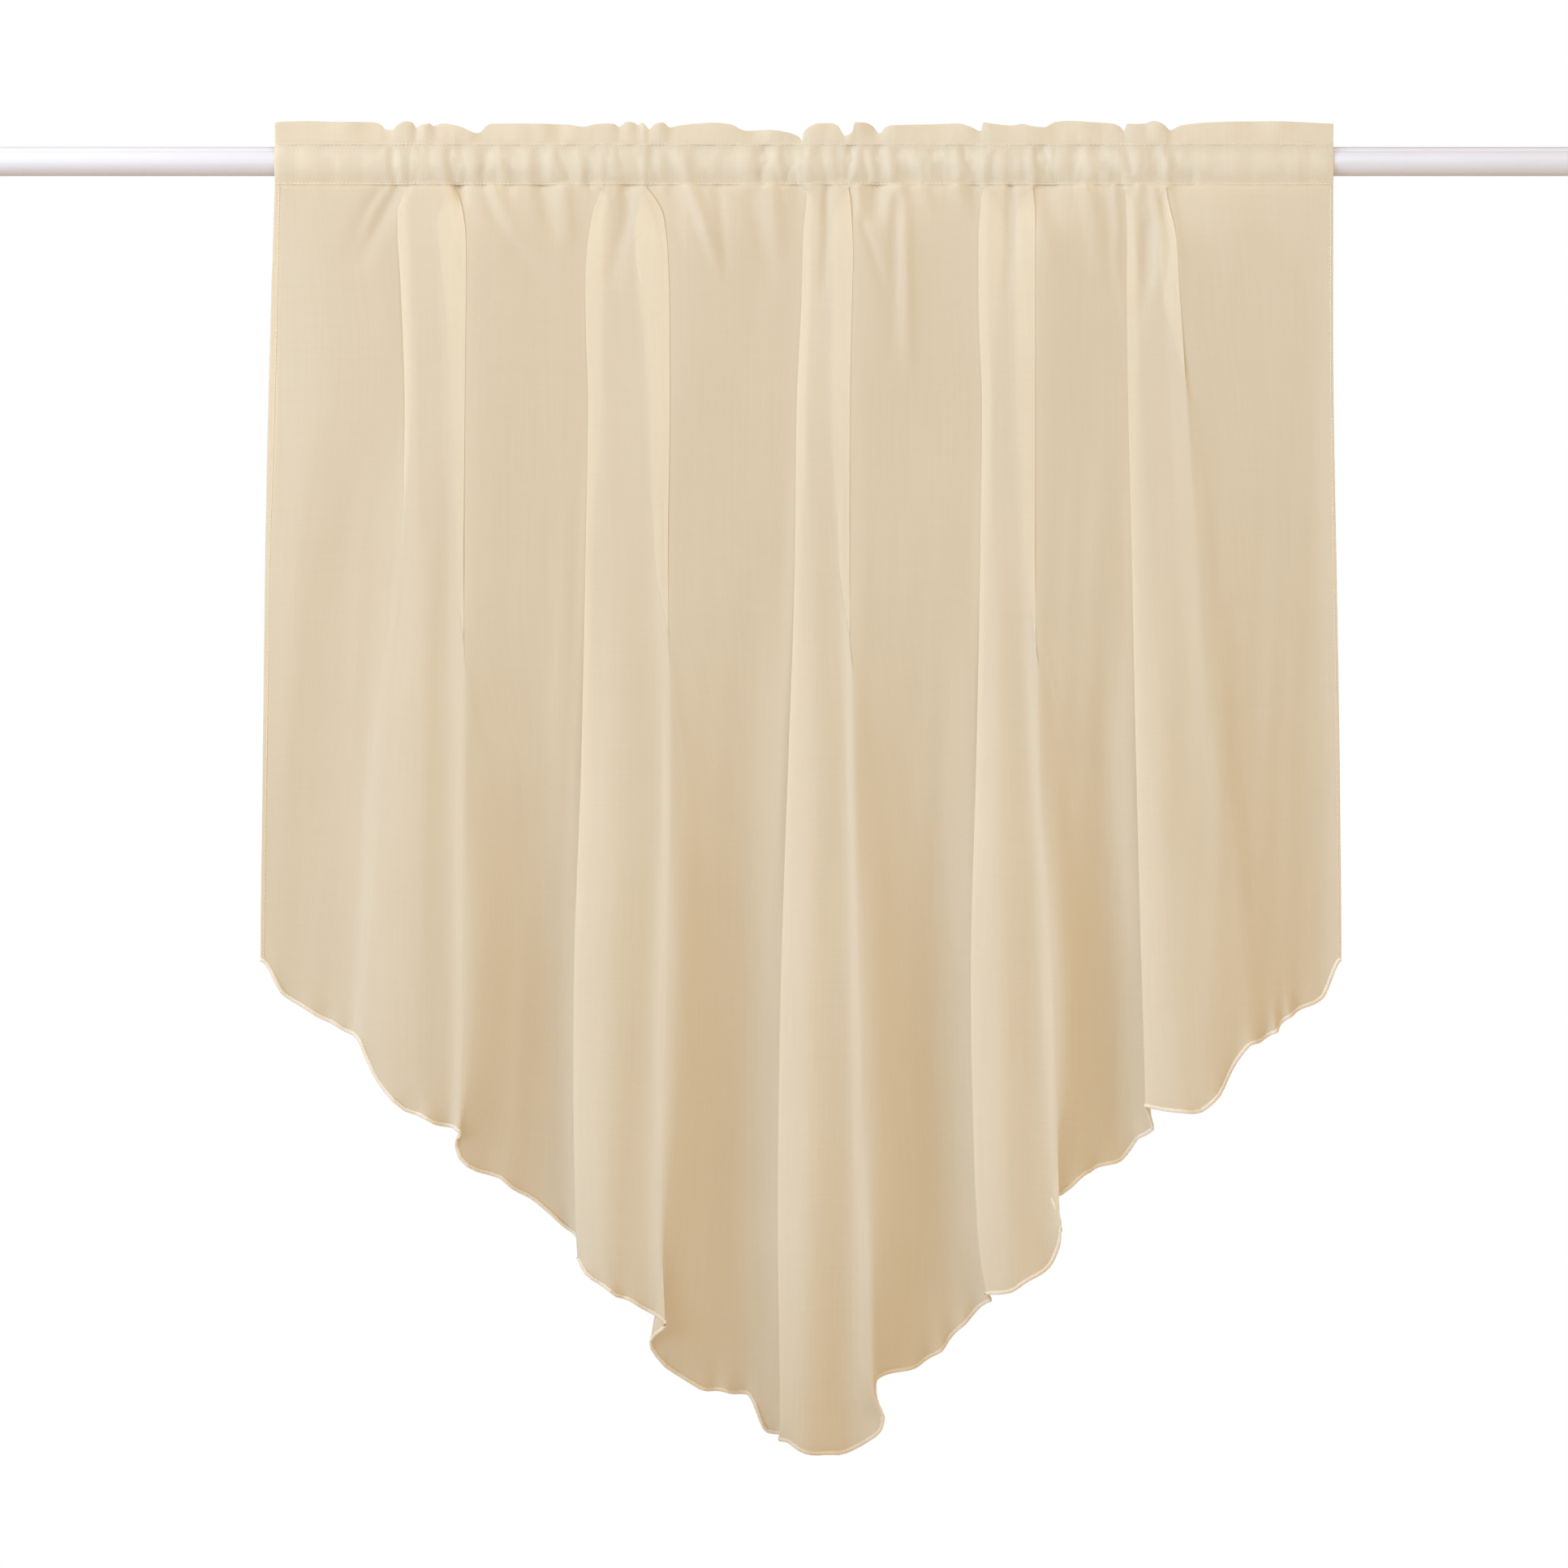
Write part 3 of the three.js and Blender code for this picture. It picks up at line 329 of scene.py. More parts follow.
FRILL_CREASES = [
    ([(-333.1, 29.9), (-332.4, 9.2)], 8.5, 0.8),
    ([(-297.7, 25.0), (-296.5, 7.9)], 3.7, -1.8),
    ([(-286.1, 29.9), (-286.7, 7.9)], 4.3, 1.8),
    ([(-275.7, 25.0), (-276.9, 7.9)], 2.4, -2.6),
    ([(-269.0, 27.4), (-269.0, 7.9)], 2.4, 1.6),
    ([(-261.7, 26.2), (-262.3, 7.9)], 2.4, -2.0),
    ([(-250.7, 27.4), (-250.1, 7.9)], 4.9, 1.4),
    ([(-229.4, 22.6), (-228.8, 7.9)], 4.3, -1.4),
    ([(-217.2, 26.2), (-214.7, 9.2)], 6.7, -1.8),
    ([(-198.9, 27.4), (-198.9, 9.2)], 4.9, 1.4),
    ([(-189.7, 23.8), (-189.1, 12.8)], 3.7, -1.2),
    ([(-169.6, 26.2), (-170.8, 11.6)], 4.9, -1.6),
    ([(-158.6, 27.4), (-158.6, 9.2)], 4.9, 1.1),
    ([(-150.1, 26.2), (-151.3, 12.8)], 3.7, -1.2),
    ([(-134.8, 27.4), (-133.0, 7.9)], 4.9, 0.7),
    ([(-123.2, 25.0), (-124.4, 7.9)], 2.7, -2.0),
    ([(-115.9, 28.7), (-115.9, 7.9)], 3.0, 1.8),
    ([(-109.2, 26.2), (-109.2, 7.9)], 2.1, -2.0),
    ([(-105.5, 28.1), (-105.5, 7.9)], 2.1, 1.2),
    ([(-101.3, 23.8), (-100.6, 7.9)], 3.0, -1.3),
    ([(-93.3, 28.7), (-93.3, 7.9)], 3.7, 1.6),
    ([(-84.8, 25.6), (-84.8, 10.4)], 3.7, -2.0),
    ([(-67.1, 23.8), (-66.5, 11.6)], 4.9, -1.1),
    ([(-52.5, 28.7), (-51.2, 9.2)], 7.3, 1.1),
    ([(-22.0, 22.6), (-20.7, 9.2)], 5.5, -1.1),
    ([(-7.3, 22.6), (-9.8, 7.9)], 4.9, 1.4),
    ([(12.2, 16.5), (12.2, 7.9)], 3.4, -1.4),
    ([(25.6, 27.4), (20.7, 7.9)], 4.9, 1.9),
    ([(39.0, 25.6), (35.4, 7.9)], 3.0, 0.9),
    ([(45.1, 18.9), (45.1, 6.7)], 3.4, -1.6),
    ([(57.3, 28.7), (58.6, 9.2)], 4.3, 1.9),
    ([(68.3, 23.8), (72.0, 7.3)], 3.4, -2.4),
    ([(81.7, 26.8), (79.9, 7.9)], 4.9, 1.6),
    ([(108.0, 26.2), (111.0, 11.6)], 6.1, -1.3),
    ([(125.7, 28.1), (128.1, 7.9)], 4.9, 1.3),
    ([(146.4, 23.8), (145.2, 7.9)], 3.7, -2.0),
    ([(153.7, 28.1), (154.9, 7.9)], 3.7, 1.5),
    ([(170.8, 25.6), (169.6, 7.9)], 3.7, -1.0),
    ([(180.6, 26.8), (181.8, 7.9)], 3.7, 1.1),
    ([(202.5, 25.0), (202.5, 10.4)], 5.5, -1.4),
    ([(212.3, 31.7), (211.1, 7.9)], 5.5, 1.6),
    ([(223.3, 28.7), (225.7, 9.2)], 3.7, 0.9),
    ([(238.5, 27.4), (239.1, 11.6)], 5.5, -1.4),
    ([(255.0, 22.6), (256.2, 7.3)], 3.0, -2.4),
    ([(263.5, 27.4), (263.5, 7.9)], 4.3, 1.5),
    ([(272.7, 27.4), (272.1, 7.9)], 2.4, -1.2),
    ([(279.4, 29.3), (279.4, 7.9)], 3.7, 1.6),
    ([(290.4, 23.2), (289.1, 7.3)], 3.7, -2.2),
    ([(344.0, 28.7), (344.6, 10.4)], 8.5, -0.8),
]
# Fine puckers that start at the seams: (x, z) of the start, run, half width and height.
puckers = np.random.RandomState(5)
for x in np.arange(-372, 402, 5.5):
    x0, lean, width, height = x + puckers.uniform(-2.4, 2.4), puckers.uniform(-3.5, 3.5), puckers.uniform(1.25, 1.9), puckers.uniform(-1.2, 0.9)
    gathered = 0.45 if abs(x0 + 345) < 35 or x0 > 310 else 1.0
    POCKET_CREASES.append(([(x0, -17.7), (x0 + lean, -17.7 + puckers.uniform(5, 14))], width, height * gathered))
    x0, lean = x + puckers.uniform(-2.4, 2.4), puckers.uniform(-2.5, 2.5)
    POCKET_CREASES.append(([(x0, 11.9), (x0 + lean, 11.9 - puckers.uniform(4, 11))], width, puckers.uniform(-1.0, 0.8) * gathered))
    FRILL_CREASES.append(([(x0, 11.9), (x0 + lean, 11.9 + puckers.uniform(3, 9))], width, puckers.uniform(-0.9, 0.9) * gathered))
    x0, lean = x + puckers.uniform(-2.4, 2.4), puckers.uniform(-3.0, 3.0)
    BODY_CREASES.append(([(x0, -17.7), (x0 + lean, -17.7 - puckers.uniform(4, 12))], width, puckers.uniform(-0.5, 0.35) * gathered))
# Height of the frill's top above the rod's axis: (x, z). It drops where the heading is gathered.
FRILL_TOP = [
    (-383.1, 28.1), (-378.8, 29.3), (-357.5, 30.0), (-330.0, 29.3), (-308.7, 29.3), (-302.6, 27.4), (-298.3, 23.2), (-294.0, 23.2),
    (-290.4, 26.8), (-284.3, 29.3), (-278.8, 28.1), (-275.7, 23.8), (-273.3, 26.2), (-269.0, 26.8), (-265.3, 27.4), (-262.3, 25.0),
    (-259.2, 26.8), (-255.0, 27.4), (-247.7, 26.2), (-241.6, 25.0), (-235.5, 22.0), (-230.6, 20.7), (-226.9, 22.0), (-223.3, 26.8),
    (-219.6, 28.1), (-198.9, 28.1), (-162.3, 27.4), (-151.3, 25.6), (-140.9, 27.4), (-127.5, 26.8), (-123.8, 24.4), (-119.6, 28.1),
    (-113.5, 28.7), (-109.8, 25.6), (-106.8, 28.1), (-103.7, 25.6), (-101.3, 23.2), (-97.0, 27.4), (-90.3, 28.7), (-86.0, 25.0),
    (-81.1, 26.2), (-73.8, 27.4), (-52.5, 28.7), (-40.3, 27.4), (-29.3, 22.6), (-12.8, 23.2), (2.4, 21.3), (11.0, 17.7),
    (13.4, 14.8), (14.6, 20.7), (19.5, 25.0), (26.8, 27.4), (36.0, 27.4), (41.5, 24.4), (45.1, 17.7), (51.2, 21.3),
    (53.1, 28.7), (60.4, 28.7), (66.5, 26.2), (72.0, 20.1), (75.6, 25.0), (81.7, 26.8), (106.1, 27.4), (130.5, 28.1),
    (139.7, 25.6), (147.6, 22.0), (149.4, 28.1), (158.0, 26.8), (170.2, 25.6), (178.1, 26.8), (188.5, 25.0), (194.6, 25.0),
    (203.7, 29.3), (212.9, 30.2), (228.1, 29.3), (246.4, 28.1), (252.5, 25.0), (255.0, 22.0), (257.4, 27.4), (263.5, 26.8),
    (270.8, 27.4), (276.9, 29.3), (284.3, 26.8), (289.8, 22.6), (296.5, 26.2), (307.4, 28.1), (325.7, 29.3), (362.3, 29.9),
    (386.7, 29.3), (411.1, 28.1),
]
# The pocket's front: how far it stands forward of the rod's axis, at heights above the axis.
POCKET_HEIGHTS = [-17.7, -15.5, -12, -8, -4, 0, 4, 8, 10.5, 11.9]
POCKET_FRONT = [9.0, 9.6, 10.6, 11.5, 12.0, 12.1, 11.8, 10.9, 9.9, 9.2]
# Its back: radius around the axis, from the lower seam under the rod and behind it to the upper seam (degrees).
POCKET_ANGLES = [-306, -290, -272, -250, -180, -140, -120, -105, -90, -78, -64]
POCKET_RADII = [14.7, 12.7, 11.9, 11.7, 11.7, 11.8, 12.0, 12.7, 14.3, 16.4, 19.5]


# ---------------------------------------------------------------- interpolation
def smooth(t):
    c = np.clip(t, 0.0, 1.0)
    return c * c * (3 - 2 * c)


def along(knots, values, at):
    """Value of a quantity given at knots, with slopes that never overshoot the table."""
    k, v, at = np.asarray(knots, float), np.asarray(values, float), np.asarray(at, float)
    h = np.diff(k)
    s = np.diff(v) / h
    a, b = s[:-1], s[1:]
    total = np.where(a * b > 0, a + b, 1.0)
    m = np.zeros(len(k))
    m[1:-1] = np.where(a * b > 0, 2 * a * b / total, 0.0)
    at = np.clip(at, k[0], k[-1])
    i = np.clip(np.searchsorted(k, at, side="right") - 1, 0, len(k) - 2)
    t = (at - k[i]) / h[i]
    t2, t3 = t * t, t * t * t
    return (2 * t3 - 3 * t2 + 1) * v[i] + (t3 - 2 * t2 + t) * h[i] * m[i] + (3 * t2 - 2 * t3) * v[i + 1] + (t3 - t2) * h[i] * m[i + 1]


def at_drop(values, d):
    return along(DROPS, values, d)


def curve_through(p0, p1, p2, p3, t):
    """Centripetal curve through four neighbouring stations, so tight turns stay round."""

    def knot(a, b):
        return np.maximum(1e-3, np.sqrt(np.linalg.norm(b - a, axis=-1)))

    k1 = knot(p0, p1)
    k2 = k1 + knot(p1, p2)
    k3 = k2 + knot(p2, p3)
    k = k1 + (k2 - k1) * t

    def mix(a, b, ka, kb):
        return a + (b - a) * ((k - ka) / (kb - ka))[..., None]

    a1, a2, a3 = mix(p0, p1, 0 * k1, k1), mix(p1, p2, k1, k2), mix(p2, p3, k2, k3)
    b1, b2 = mix(a1, a2, 0 * k1, k2), mix(a2, a3, k1, k3)
    return mix(b1, b2, k1, k2)


# ---------------------------------------------------------------- stations across the cloth
def make_stations():
    def side(kind, x):
        return {"kind": kind, "x": x, "f": lambda d: at_drop(SIDE_FORWARD[kind], d), "hem": SIDE_HEM[kind]}

    left_edge = lambda d: at_drop(SIDES["leftEdge"], d)
    left_valley = lambda d: at_drop(SIDES["leftValley"], d)
    right_edge = lambda d: at_drop(SIDES["rightEdge"], d)
    right_margin = lambda d: right_edge(d) - RIGHT_MARGIN
    out = [
        side("leftEdge", left_edge),
        side("leftMargin", lambda d: 0.55 * left_edge(d) + 0.45 * left_valley(d)),
        side("leftValley", left_valley),
    ]
    for k, fold in enumerate(FOLDS):
        nxt = FOLDS[k + 1] if k + 1 < len(FOLDS) else None

        def place(kind, x, fold=fold):
            own = fold.get("own", {})
            values = own[kind] if kind in own else [v * fold["depth"] for v in FORWARD[kind]]
            return {"kind": kind, "x": x, "f": lambda d: at_drop(values, d), "hem": fold["hem"][kind]}

        left = lambda d, fold=fold: at_drop(fold["left"], d)
        right = lambda d, fold=fold: at_drop(fold["right"], d)
        low = lambda d, fold=fold: at_drop(fold["dip"], d)
        dip = lambda d, low=low, right=right: low(d) + (right(d) - low(d)) * at_drop(DIP_SHIFT, d)
        next_left = right_margin if nxt is None else (lambda d, nxt=nxt: at_drop(nxt["left"], d))
        foot_out, trough_out = fold.get("footOut", FOOT_OUT), fold.get("troughOut", TROUGH_OUT)
        crown_share, valley_share = fold.get("crownShare", CROWN_SHARE), fold.get("valleyShare", VALLEY_SHARE)
        out += [
            place("foot", lambda d, left=left, foot_out=foot_out: left(d) - at_drop(foot_out, d)),
            place("tuckLeft", lambda d, left=left, fold=fold: left(d) + at_drop(fold["tuckLeft"], d)),
            place("left", left),
            place("crown", lambda d, left=left, low=low, share=crown_share: left(d) + (low(d) - left(d)) * at_drop(share, d)),
            place("dip", dip),
            place("right", right),
            place("tuckRight", lambda d, right=right, fold=fold: right(d) - at_drop(fold["tuckRight"], d)),
            place("trough", lambda d, right=right, trough_out=trough_out: right(d) + at_drop(trough_out, d)),
            place("valley", lambda d, right=right, next_left=next_left, share=valley_share: right(d) + (next_left(d) - right(d)) * share),
        ]
    out += [side("rightMargin", right_margin), side("rightEdge", right_edge)]
    return out


STATIONS = make_stations()
LAST = len(STATIONS) - 1


def station_point(i, d):
    if i < 0:
        return 2 * station_point(0, d) - station_point(1, d)
    if i > LAST:
        return 2 * station_point(LAST, d) - station_point(LAST - 1, d)
    return np.stack([STATIONS[i]["x"](d), STATIONS[i]["f"](d)], axis=-1)


def cloth_section(u, d):
    """x and forward distance of the hanging cloth at column u, for an array of drops."""
    i = min(LAST - 1, int(math.floor(u)))
    d = np.asarray(d, float)
    p0, p1, p2, p3 = (station_point(j, d) for j in (i - 1, i, i + 1, i + 2))
    if STATIONS[i]["kind"] == "left":
        # From a turned edge the face sets off straight; from a soft ridge it stays round.
        turned = smooth((p0[..., 0] - p1[..., 0]) / 4.0)[..., None]
        p0 = p0 + (p1 - 0.25 * (p2 - p1) - p0) * turned
    if STATIONS[i]["kind"] in ("left", "crown", "dip"):
        # High up each face of a fold hangs flat between its edges.
        flat = (1 - smooth((d - 230.0) / 170.0))[..., None]
        p0 = p0 + (p1 - 0.25 * (p2 - p1) - p0) * flat
        p3 = p3 + (p2 + 0.25 * (p2 - p1) - p3) * flat
    return curve_through(p0, p1, p2, p3, u - i)


# Columns: closer together at the two turned side hems and at the folds' edges.
EDGE_STEPS = [0.0, 0.03, 0.075, 0.13, 0.185]
u_list = []
for i in range(LAST):
    n = COLUMNS[STATIONS[i]["kind"]]
    steps = list(np.arange(n) / n)
    if STATIONS[i]["kind"] in ("tuckLeft", "dip"):
        steps = [1 - (1 - s) ** 2.2 for s in steps]
    if STATIONS[i]["kind"] in ("left", "right"):
        steps = [s**2.2 for s in steps]
    if i == 0:
        steps = EDGE_STEPS + list(np.linspace(EDGE_STEPS[-1], 1.0, n - len(EDGE_STEPS) + 2)[1:-1])
    if i == LAST - 1:
        steps = list(np.linspace(0.0, 1 - EDGE_STEPS[-1], n - len(EDGE_STEPS) + 1)) + [1 - e for e in EDGE_STEPS[-2:0:-1]]
    u_list += [i + t for t in steps]
u_list.append(float(LAST))
U = np.array(u_list)
NC = len(U)

# Flat distance across the cloth, measured along one well opened row.
ref = np.array([cloth_section(u, [520.0])[0] for u in U])
S = np.concatenate([[0.0], np.cumsum(np.linalg.norm(np.diff(ref, axis=0), axis=1))])
S_station = np.interp(np.arange(LAST + 1), U, S)

# Hem: through the stations' drops, with small scallops from the rippled edge.
hem_knots = sorted([(float(i), st["hem"]) for i, st in enumerate(STATIONS)] + HEM_BETWEEN)
hem = along(np.interp([k for k, _ in hem_knots], U, S), [h for _, h in hem_knots], S)
ripple_phase = 2 * math.pi * S / 23.0 + 0.9 * np.sin(2 * math.pi * S / 97.0 + 1.0) + 0.7 * np.sin(2 * math.pi * S / 61.0)
ripple_size = 0.62 + 0.38 * np.sin(2 * math.pi * S / 141.0 + 2.0)
edge_fade = smooth(np.minimum(S, S[-1] - S) / 35.0)
hem = hem + 1.1 * np.cos(ripple_phase) * ripple_size * edge_fade


# ---------------------------------------------------------------- creases and slack
def line_distance(points, x, z):
    """Distance from (x, z) to a line of points, and the share of its length there."""
    pts = np.array(points, float)
    lengths = np.linalg.norm(np.diff(pts, axis=0), axis=1)
    starts = np.concatenate([[0], np.cumsum(lengths)])
    best = np.full(x.shape, 1e9)
    share = np.zeros(x.shape)
    for k in range(len(pts) - 1):
        ax, az = pts[k]
        bx, bz = pts[k + 1]
        t = np.clip(((x - ax) * (bx - ax) + (z - az) * (bz - az)) / (lengths[k] ** 2), 0, 1)
        dist = np.hypot(x - ax - t * (bx - ax), z - az - t * (bz - az))
        near = dist < best
        best = np.where(near, dist, best)
        share = np.where(near, (starts[k] + t * lengths[k]) / starts[-1], share)
    return best, share


def creases(rows, x, z, fade=0.0):
    total = np.zeros(x.shape)
    for points, width, height in rows:
        dist, share = line_distance(points, x, z)
        total += height * np.exp(-0.5 * (dist / width) ** 2) * (1 - fade * share**2)
    return total


# Slow waves of slack in the hanging cloth: short across, long down.
SLACK = [
    (rng.uniform(16, 70), rng.uniform(260, 900), rng.uniform(0, 2 * math.pi), rng.uniform(-1, 1))
    for _ in range(26)
]


def slack(s, d):
    total = np.zeros(np.broadcast(s, d).shape)
    for across, down, phase, size in SLACK:
        total += size * (across / 70) * np.sin(2 * math.pi * (s / across + d / down) + phase)
    return 0.22 * total


# ---------------------------------------------------------------- the sheet, row by row
seam_row = np.array([cloth_section(u, [LOWER_SEAM])[0] for u in U])
seam_x, seam_f = seam_row[:, 0], seam_row[:, 1]
layer_out = np.maximum(seam_f, 0.0)
frill_top = along([p[0] for p in FRILL_TOP], [p[1] for p in FRILL_TOP], seam_x) - 0.5 * (1 - np.minimum(1, layer_out / 1.4))
seam_s = seam_x - seam_x[0]
frill_wave = 1.1 * np.sin(2 * math.pi * seam_s / 47.0 + 0.6) + 0.7 * np.sin(2 * math.pi * seam_s / 29.0 + 2.0)


def heading_point(y, z):
    return np.stack([seam_x, np.broadcast_to(y, seam_x.shape), np.broadcast_to(z, seam_x.shape)], axis=-1)


def frill_row(side, share):
    """side -1 is the front layer and +1 the back; share runs from the seam to the top."""
    z = UPPER_SEAM + (frill_top - UPPER_SEAM) * share
    wave = 0.45 * creases(FRILL_CREASES, seam_x, z) * (0.35 + 0.75 * share) + 0.6 * frill_wave * share
    apart = LAYER + 0.6 * layer_out * (1 - 0.35 * share)
    return heading_point(-FRONT - wave + side * apart, z)


def pocket_front_row(z):
    wave = creases(POCKET_CREASES, seam_x, np.full(NC, z)) + creases(BODY_CREASES[13:14], seam_x, np.full(NC, z))
    puff = 0.3 * np.sin(2 * math.pi * seam_s / 23.0 + 0.8 * np.sin(seam_s / 31.0))
    out = along(POCKET_HEIGHTS, POCKET_FRONT, z) + 0.8 * layer_out + 0.52 * wave + puff * math.cos(z / 12.0)
    least = ROD_RADIUS + CLEAR + 0.45 * layer_out
    return heading_point(-np.maximum(out, np.sqrt(np.maximum(0.0, least**2 - z * z))), z)


def pocket_back_row(degrees):
    a = math.radians(degrees)
    radius = along(POCKET_ANGLES, POCKET_RADII, degrees)
    wave = creases(POCKET_CREASES, seam_x, np.full(NC, radius * math.sin(a)))
    radius = np.maximum(radius + 0.3 * wave, ROD_RADIUS + CLEAR)
    return heading_point(-radius * math.cos(a), radius * math.sin(a))


HEAD_DROPS = LOWER_SEAM + np.array([
    1.2, 2.6, 4.2, 6.0, 8.0, 10.2, 12.6, 15.2, 18.0, 21.0, 24.2, 27.6, 31.2, 35.0, 39.0, 43.2, 47.6, 52.4, 57.6,
    63.2, 69.2, 75.6, 82.4, 89.8, 97.8, 106.5, 116.0,
])
LONG_ROWS, HEM_ROWS, HEM_BAND = 48, 10, 25.0

body = np.zeros((len(HEAD_DROPS) + LONG_ROWS + HEM_ROWS, NC, 3))
drops = np.zeros(body.shape[:2])
for c, u in enumerate(U):
    far = np.linspace(HEAD_DROPS[-1], hem[c] - HEM_BAND, LONG_ROWS + 1)[1:]
    end = hem[c] - HEM_BAND + HEM_BAND * np.arange(1, HEM_ROWS + 1) / HEM_ROWS
    d = np.concatenate([HEAD_DROPS, far, end])
    p = cloth_section(u, d)
    drops[:, c] = d
    body[:, c, 0], body[:, c, 1], body[:, c, 2] = p[:, 0], -FRONT - p[:, 1], -d
opened = smooth((drops - 120) / 300.0)
body[:, :, 1] -= slack(body[:, :, 0], drops) * opened
near = drops[:, 0] < 190
body[near, :, 1] -= creases(BODY_CREASES, body[near, :, 0], body[near, :, 2], fade=0.6)
short = drops[:, 0] < 40
body[short, :, 1] -= creases(POCKET_CREASES, body[short, :, 0], body[short, :, 2]) * np.exp(-(drops[short] - LOWER_SEAM) / 6.0)

lower_y = -FRONT - seam_f - 0.4 * (creases(POCKET_CREASES, seam_x, np.full(NC, -LOWER_SEAM)) + creases(BODY_CREASES, seam_x, np.full(NC, -LOWER_SEAM)))
rows = []
for extra in (TURNED_END, TURNED_END * 0.5):
    behind = np.stack([np.interp(LOWER_SEAM + extra, np.r_[LOWER_SEAM, drops[:8, c]], np.r_[lower_y[c], body[:8, c, 1]]) for c in range(NC)])
    rows.append(heading_point(behind + 0.75, -LOWER_SEAM - extra))
rows.append(heading_point(lower_y + 0.6, -LOWER_SEAM))
for degrees in np.linspace(-71, -298, 13):
    rows.append(pocket_back_row(degrees))
FRILL_ROW = len(rows)
for share in np.linspace(0.0, 0.94, 6):
    rows.append(frill_row(1, share))
front_top, back_top = frill_row(-1, 0.97), frill_row(1, 0.97)
middle, half = (front_top + back_top) / 2, (back_top - front_top)[:, 1] / 2
for turn in np.linspace(20, 160, 5):
    r = middle.copy()
    r[:, 1] += half * math.cos(math.radians(turn))
    r[:, 2] += np.minimum(half, 0.9) * math.sin(math.radians(turn))
    rows.append(r)
for share in np.linspace(0.94, 0.0, 10):
    rows.append(frill_row(-1, share))
UPPER_ROW = len(rows) - 1
for z in np.linspace(11.2, -16.6, 19):
    rows.append(pocket_front_row(z))
rows.append(heading_point(lower_y - 0.45, -LOWER_SEAM))
LOWER_ROW = len(rows) - 1
grid = np.concatenate([np.array(rows), body], axis=0)
NR = grid.shape[0]


def grid_normals(g):
    """Unit normals of a grid of points, pointing to the back where the cloth hangs flat."""
    across = np.gradient(g, axis=1)
    down = np.gradient(g, axis=0)
    n = np.cross(across, down)
    return n / np.maximum(1e-9, np.linalg.norm(n, axis=-1, keepdims=True))


# Rippled edge along the hem: the sewn edge is longer than the cloth above it.
to_hem = hem[None, :] - drops
ripple = np.exp(-np.maximum(to_hem, 0) / 10.0) * (2.5 * np.sin(ripple_phase) * ripple_size * edge_fade)[None, :]
ripple = np.where(to_hem < 60, ripple, 0.0)
normals = grid_normals(grid)
grid[LOWER_ROW + 1:] += normals[LOWER_ROW + 1:] * ripple[..., None]
normals = grid_normals(grid)

# Turned side hems: the outer columns again, just behind the cloth.
k = len(EDGE_STEPS) - 1
left_flap = grid[:, k::-1] + normals[:, k::-1] * (np.array([0.45] * k + [0.22])[None, :, None])
right_flap = grid[:, -1:-k - 2:-1] + normals[:, -1:-k - 2:-1] * (np.array([0.22] + [0.45] * k)[None, :, None])
for flap in (left_flap, right_flap):
    inside = np.hypot(flap[..., 1], flap[..., 2])
    tight = (inside < ROD_RADIUS + 0.15) & (inside > 1e-6)
    flap[tight, 1:] *= ((ROD_RADIUS + 0.15) / inside[tight])[:, None]
sheet = np.concatenate([left_flap, grid, right_flap], axis=1)
s_all = np.concatenate([S[0] - (S[k::-1] - S[0]) - 0.3, S, S[-1] + (S[-1] - S[-1:-k - 2:-1]) + 0.3])
t_all = np.concatenate([np.zeros((1, sheet.shape[1])), np.cumsum(np.linalg.norm(np.diff(sheet, axis=0), axis=-1), axis=0)])


# ---------------------------------------------------------------- meshes
def add_mesh(name, points, faces, smooth_shading=True):
    me = bpy.data.meshes.new(name)
    me.from_pydata((np.asarray(points) * MM).tolist(), [], [list(map(int, f)) for f in faces])
    me.polygons.foreach_set("use_smooth", np.full(len(me.polygons), smooth_shading))
    me.update()
    ob = bpy.data.objects.new(name, me)
    bpy.context.scene.collection.objects.link(ob)
    return ob


def grid_faces(nr, nc, wrap=False):
    r, c = np.meshgrid(np.arange(nr - 1), np.arange(nc if wrap else nc - 1), indexing="ij")
    c2 = (c + 1) % nc
    return np.stack([r * nc + c, (r + 1) * nc + c, (r + 1) * nc + c2, r * nc + c2], axis=-1).reshape(-1, 4)


n_rows, n_cols = sheet.shape[:2]
cloth = add_mesh("curtain_cloth", sheet.reshape(-1, 3), grid_faces(n_rows, n_cols))
uv = np.stack([np.broadcast_to(s_all[None, :] - s_all[0], t_all.shape), t_all], axis=-1).reshape(-1, 2) / FLAT_SPAN
uv = 0.01 + uv * 0.98
layer = cloth.data.uv_layers.new(name="OFBake")
corner = np.zeros(len(cloth.data.loops), dtype=np.int32)
cloth.data.loops.foreach_get("vertex_index", corner)
layer.data.foreach_set("uv", uv[corner].astype(np.float32).ravel())
UV_MM = FLAT_SPAN / 0.98  # millimetres of cloth for one unit of the map


def resample(points, step):
    """Points every step along a line, with unit tangents."""
    length = np.concatenate([[0], np.cumsum(np.linalg.norm(np.diff(points, axis=0), axis=1))])
    n = max(2, int(round(length[-1] / step)))
    at = np.linspace(0, length[-1], n + 1)
    p = np.stack([np.interp(at, length, points[:, a]) for a in range(3)], axis=-1)
    t = np.gradient(p, axis=0)
    return p, t / np.maximum(1e-9, np.linalg.norm(t, axis=1, keepdims=True)), at


def resample_with(points, other, step):
    p, t, at = resample(points, step)
    length = np.concatenate([[0], np.cumsum(np.linalg.norm(np.diff(points, axis=0), axis=1))])
    o = np.stack([np.interp(at, length, other[:, a]) for a in range(3)], axis=-1)
    return p, t, o / np.maximum(1e-9, np.linalg.norm(o, axis=1, keepdims=True)), at


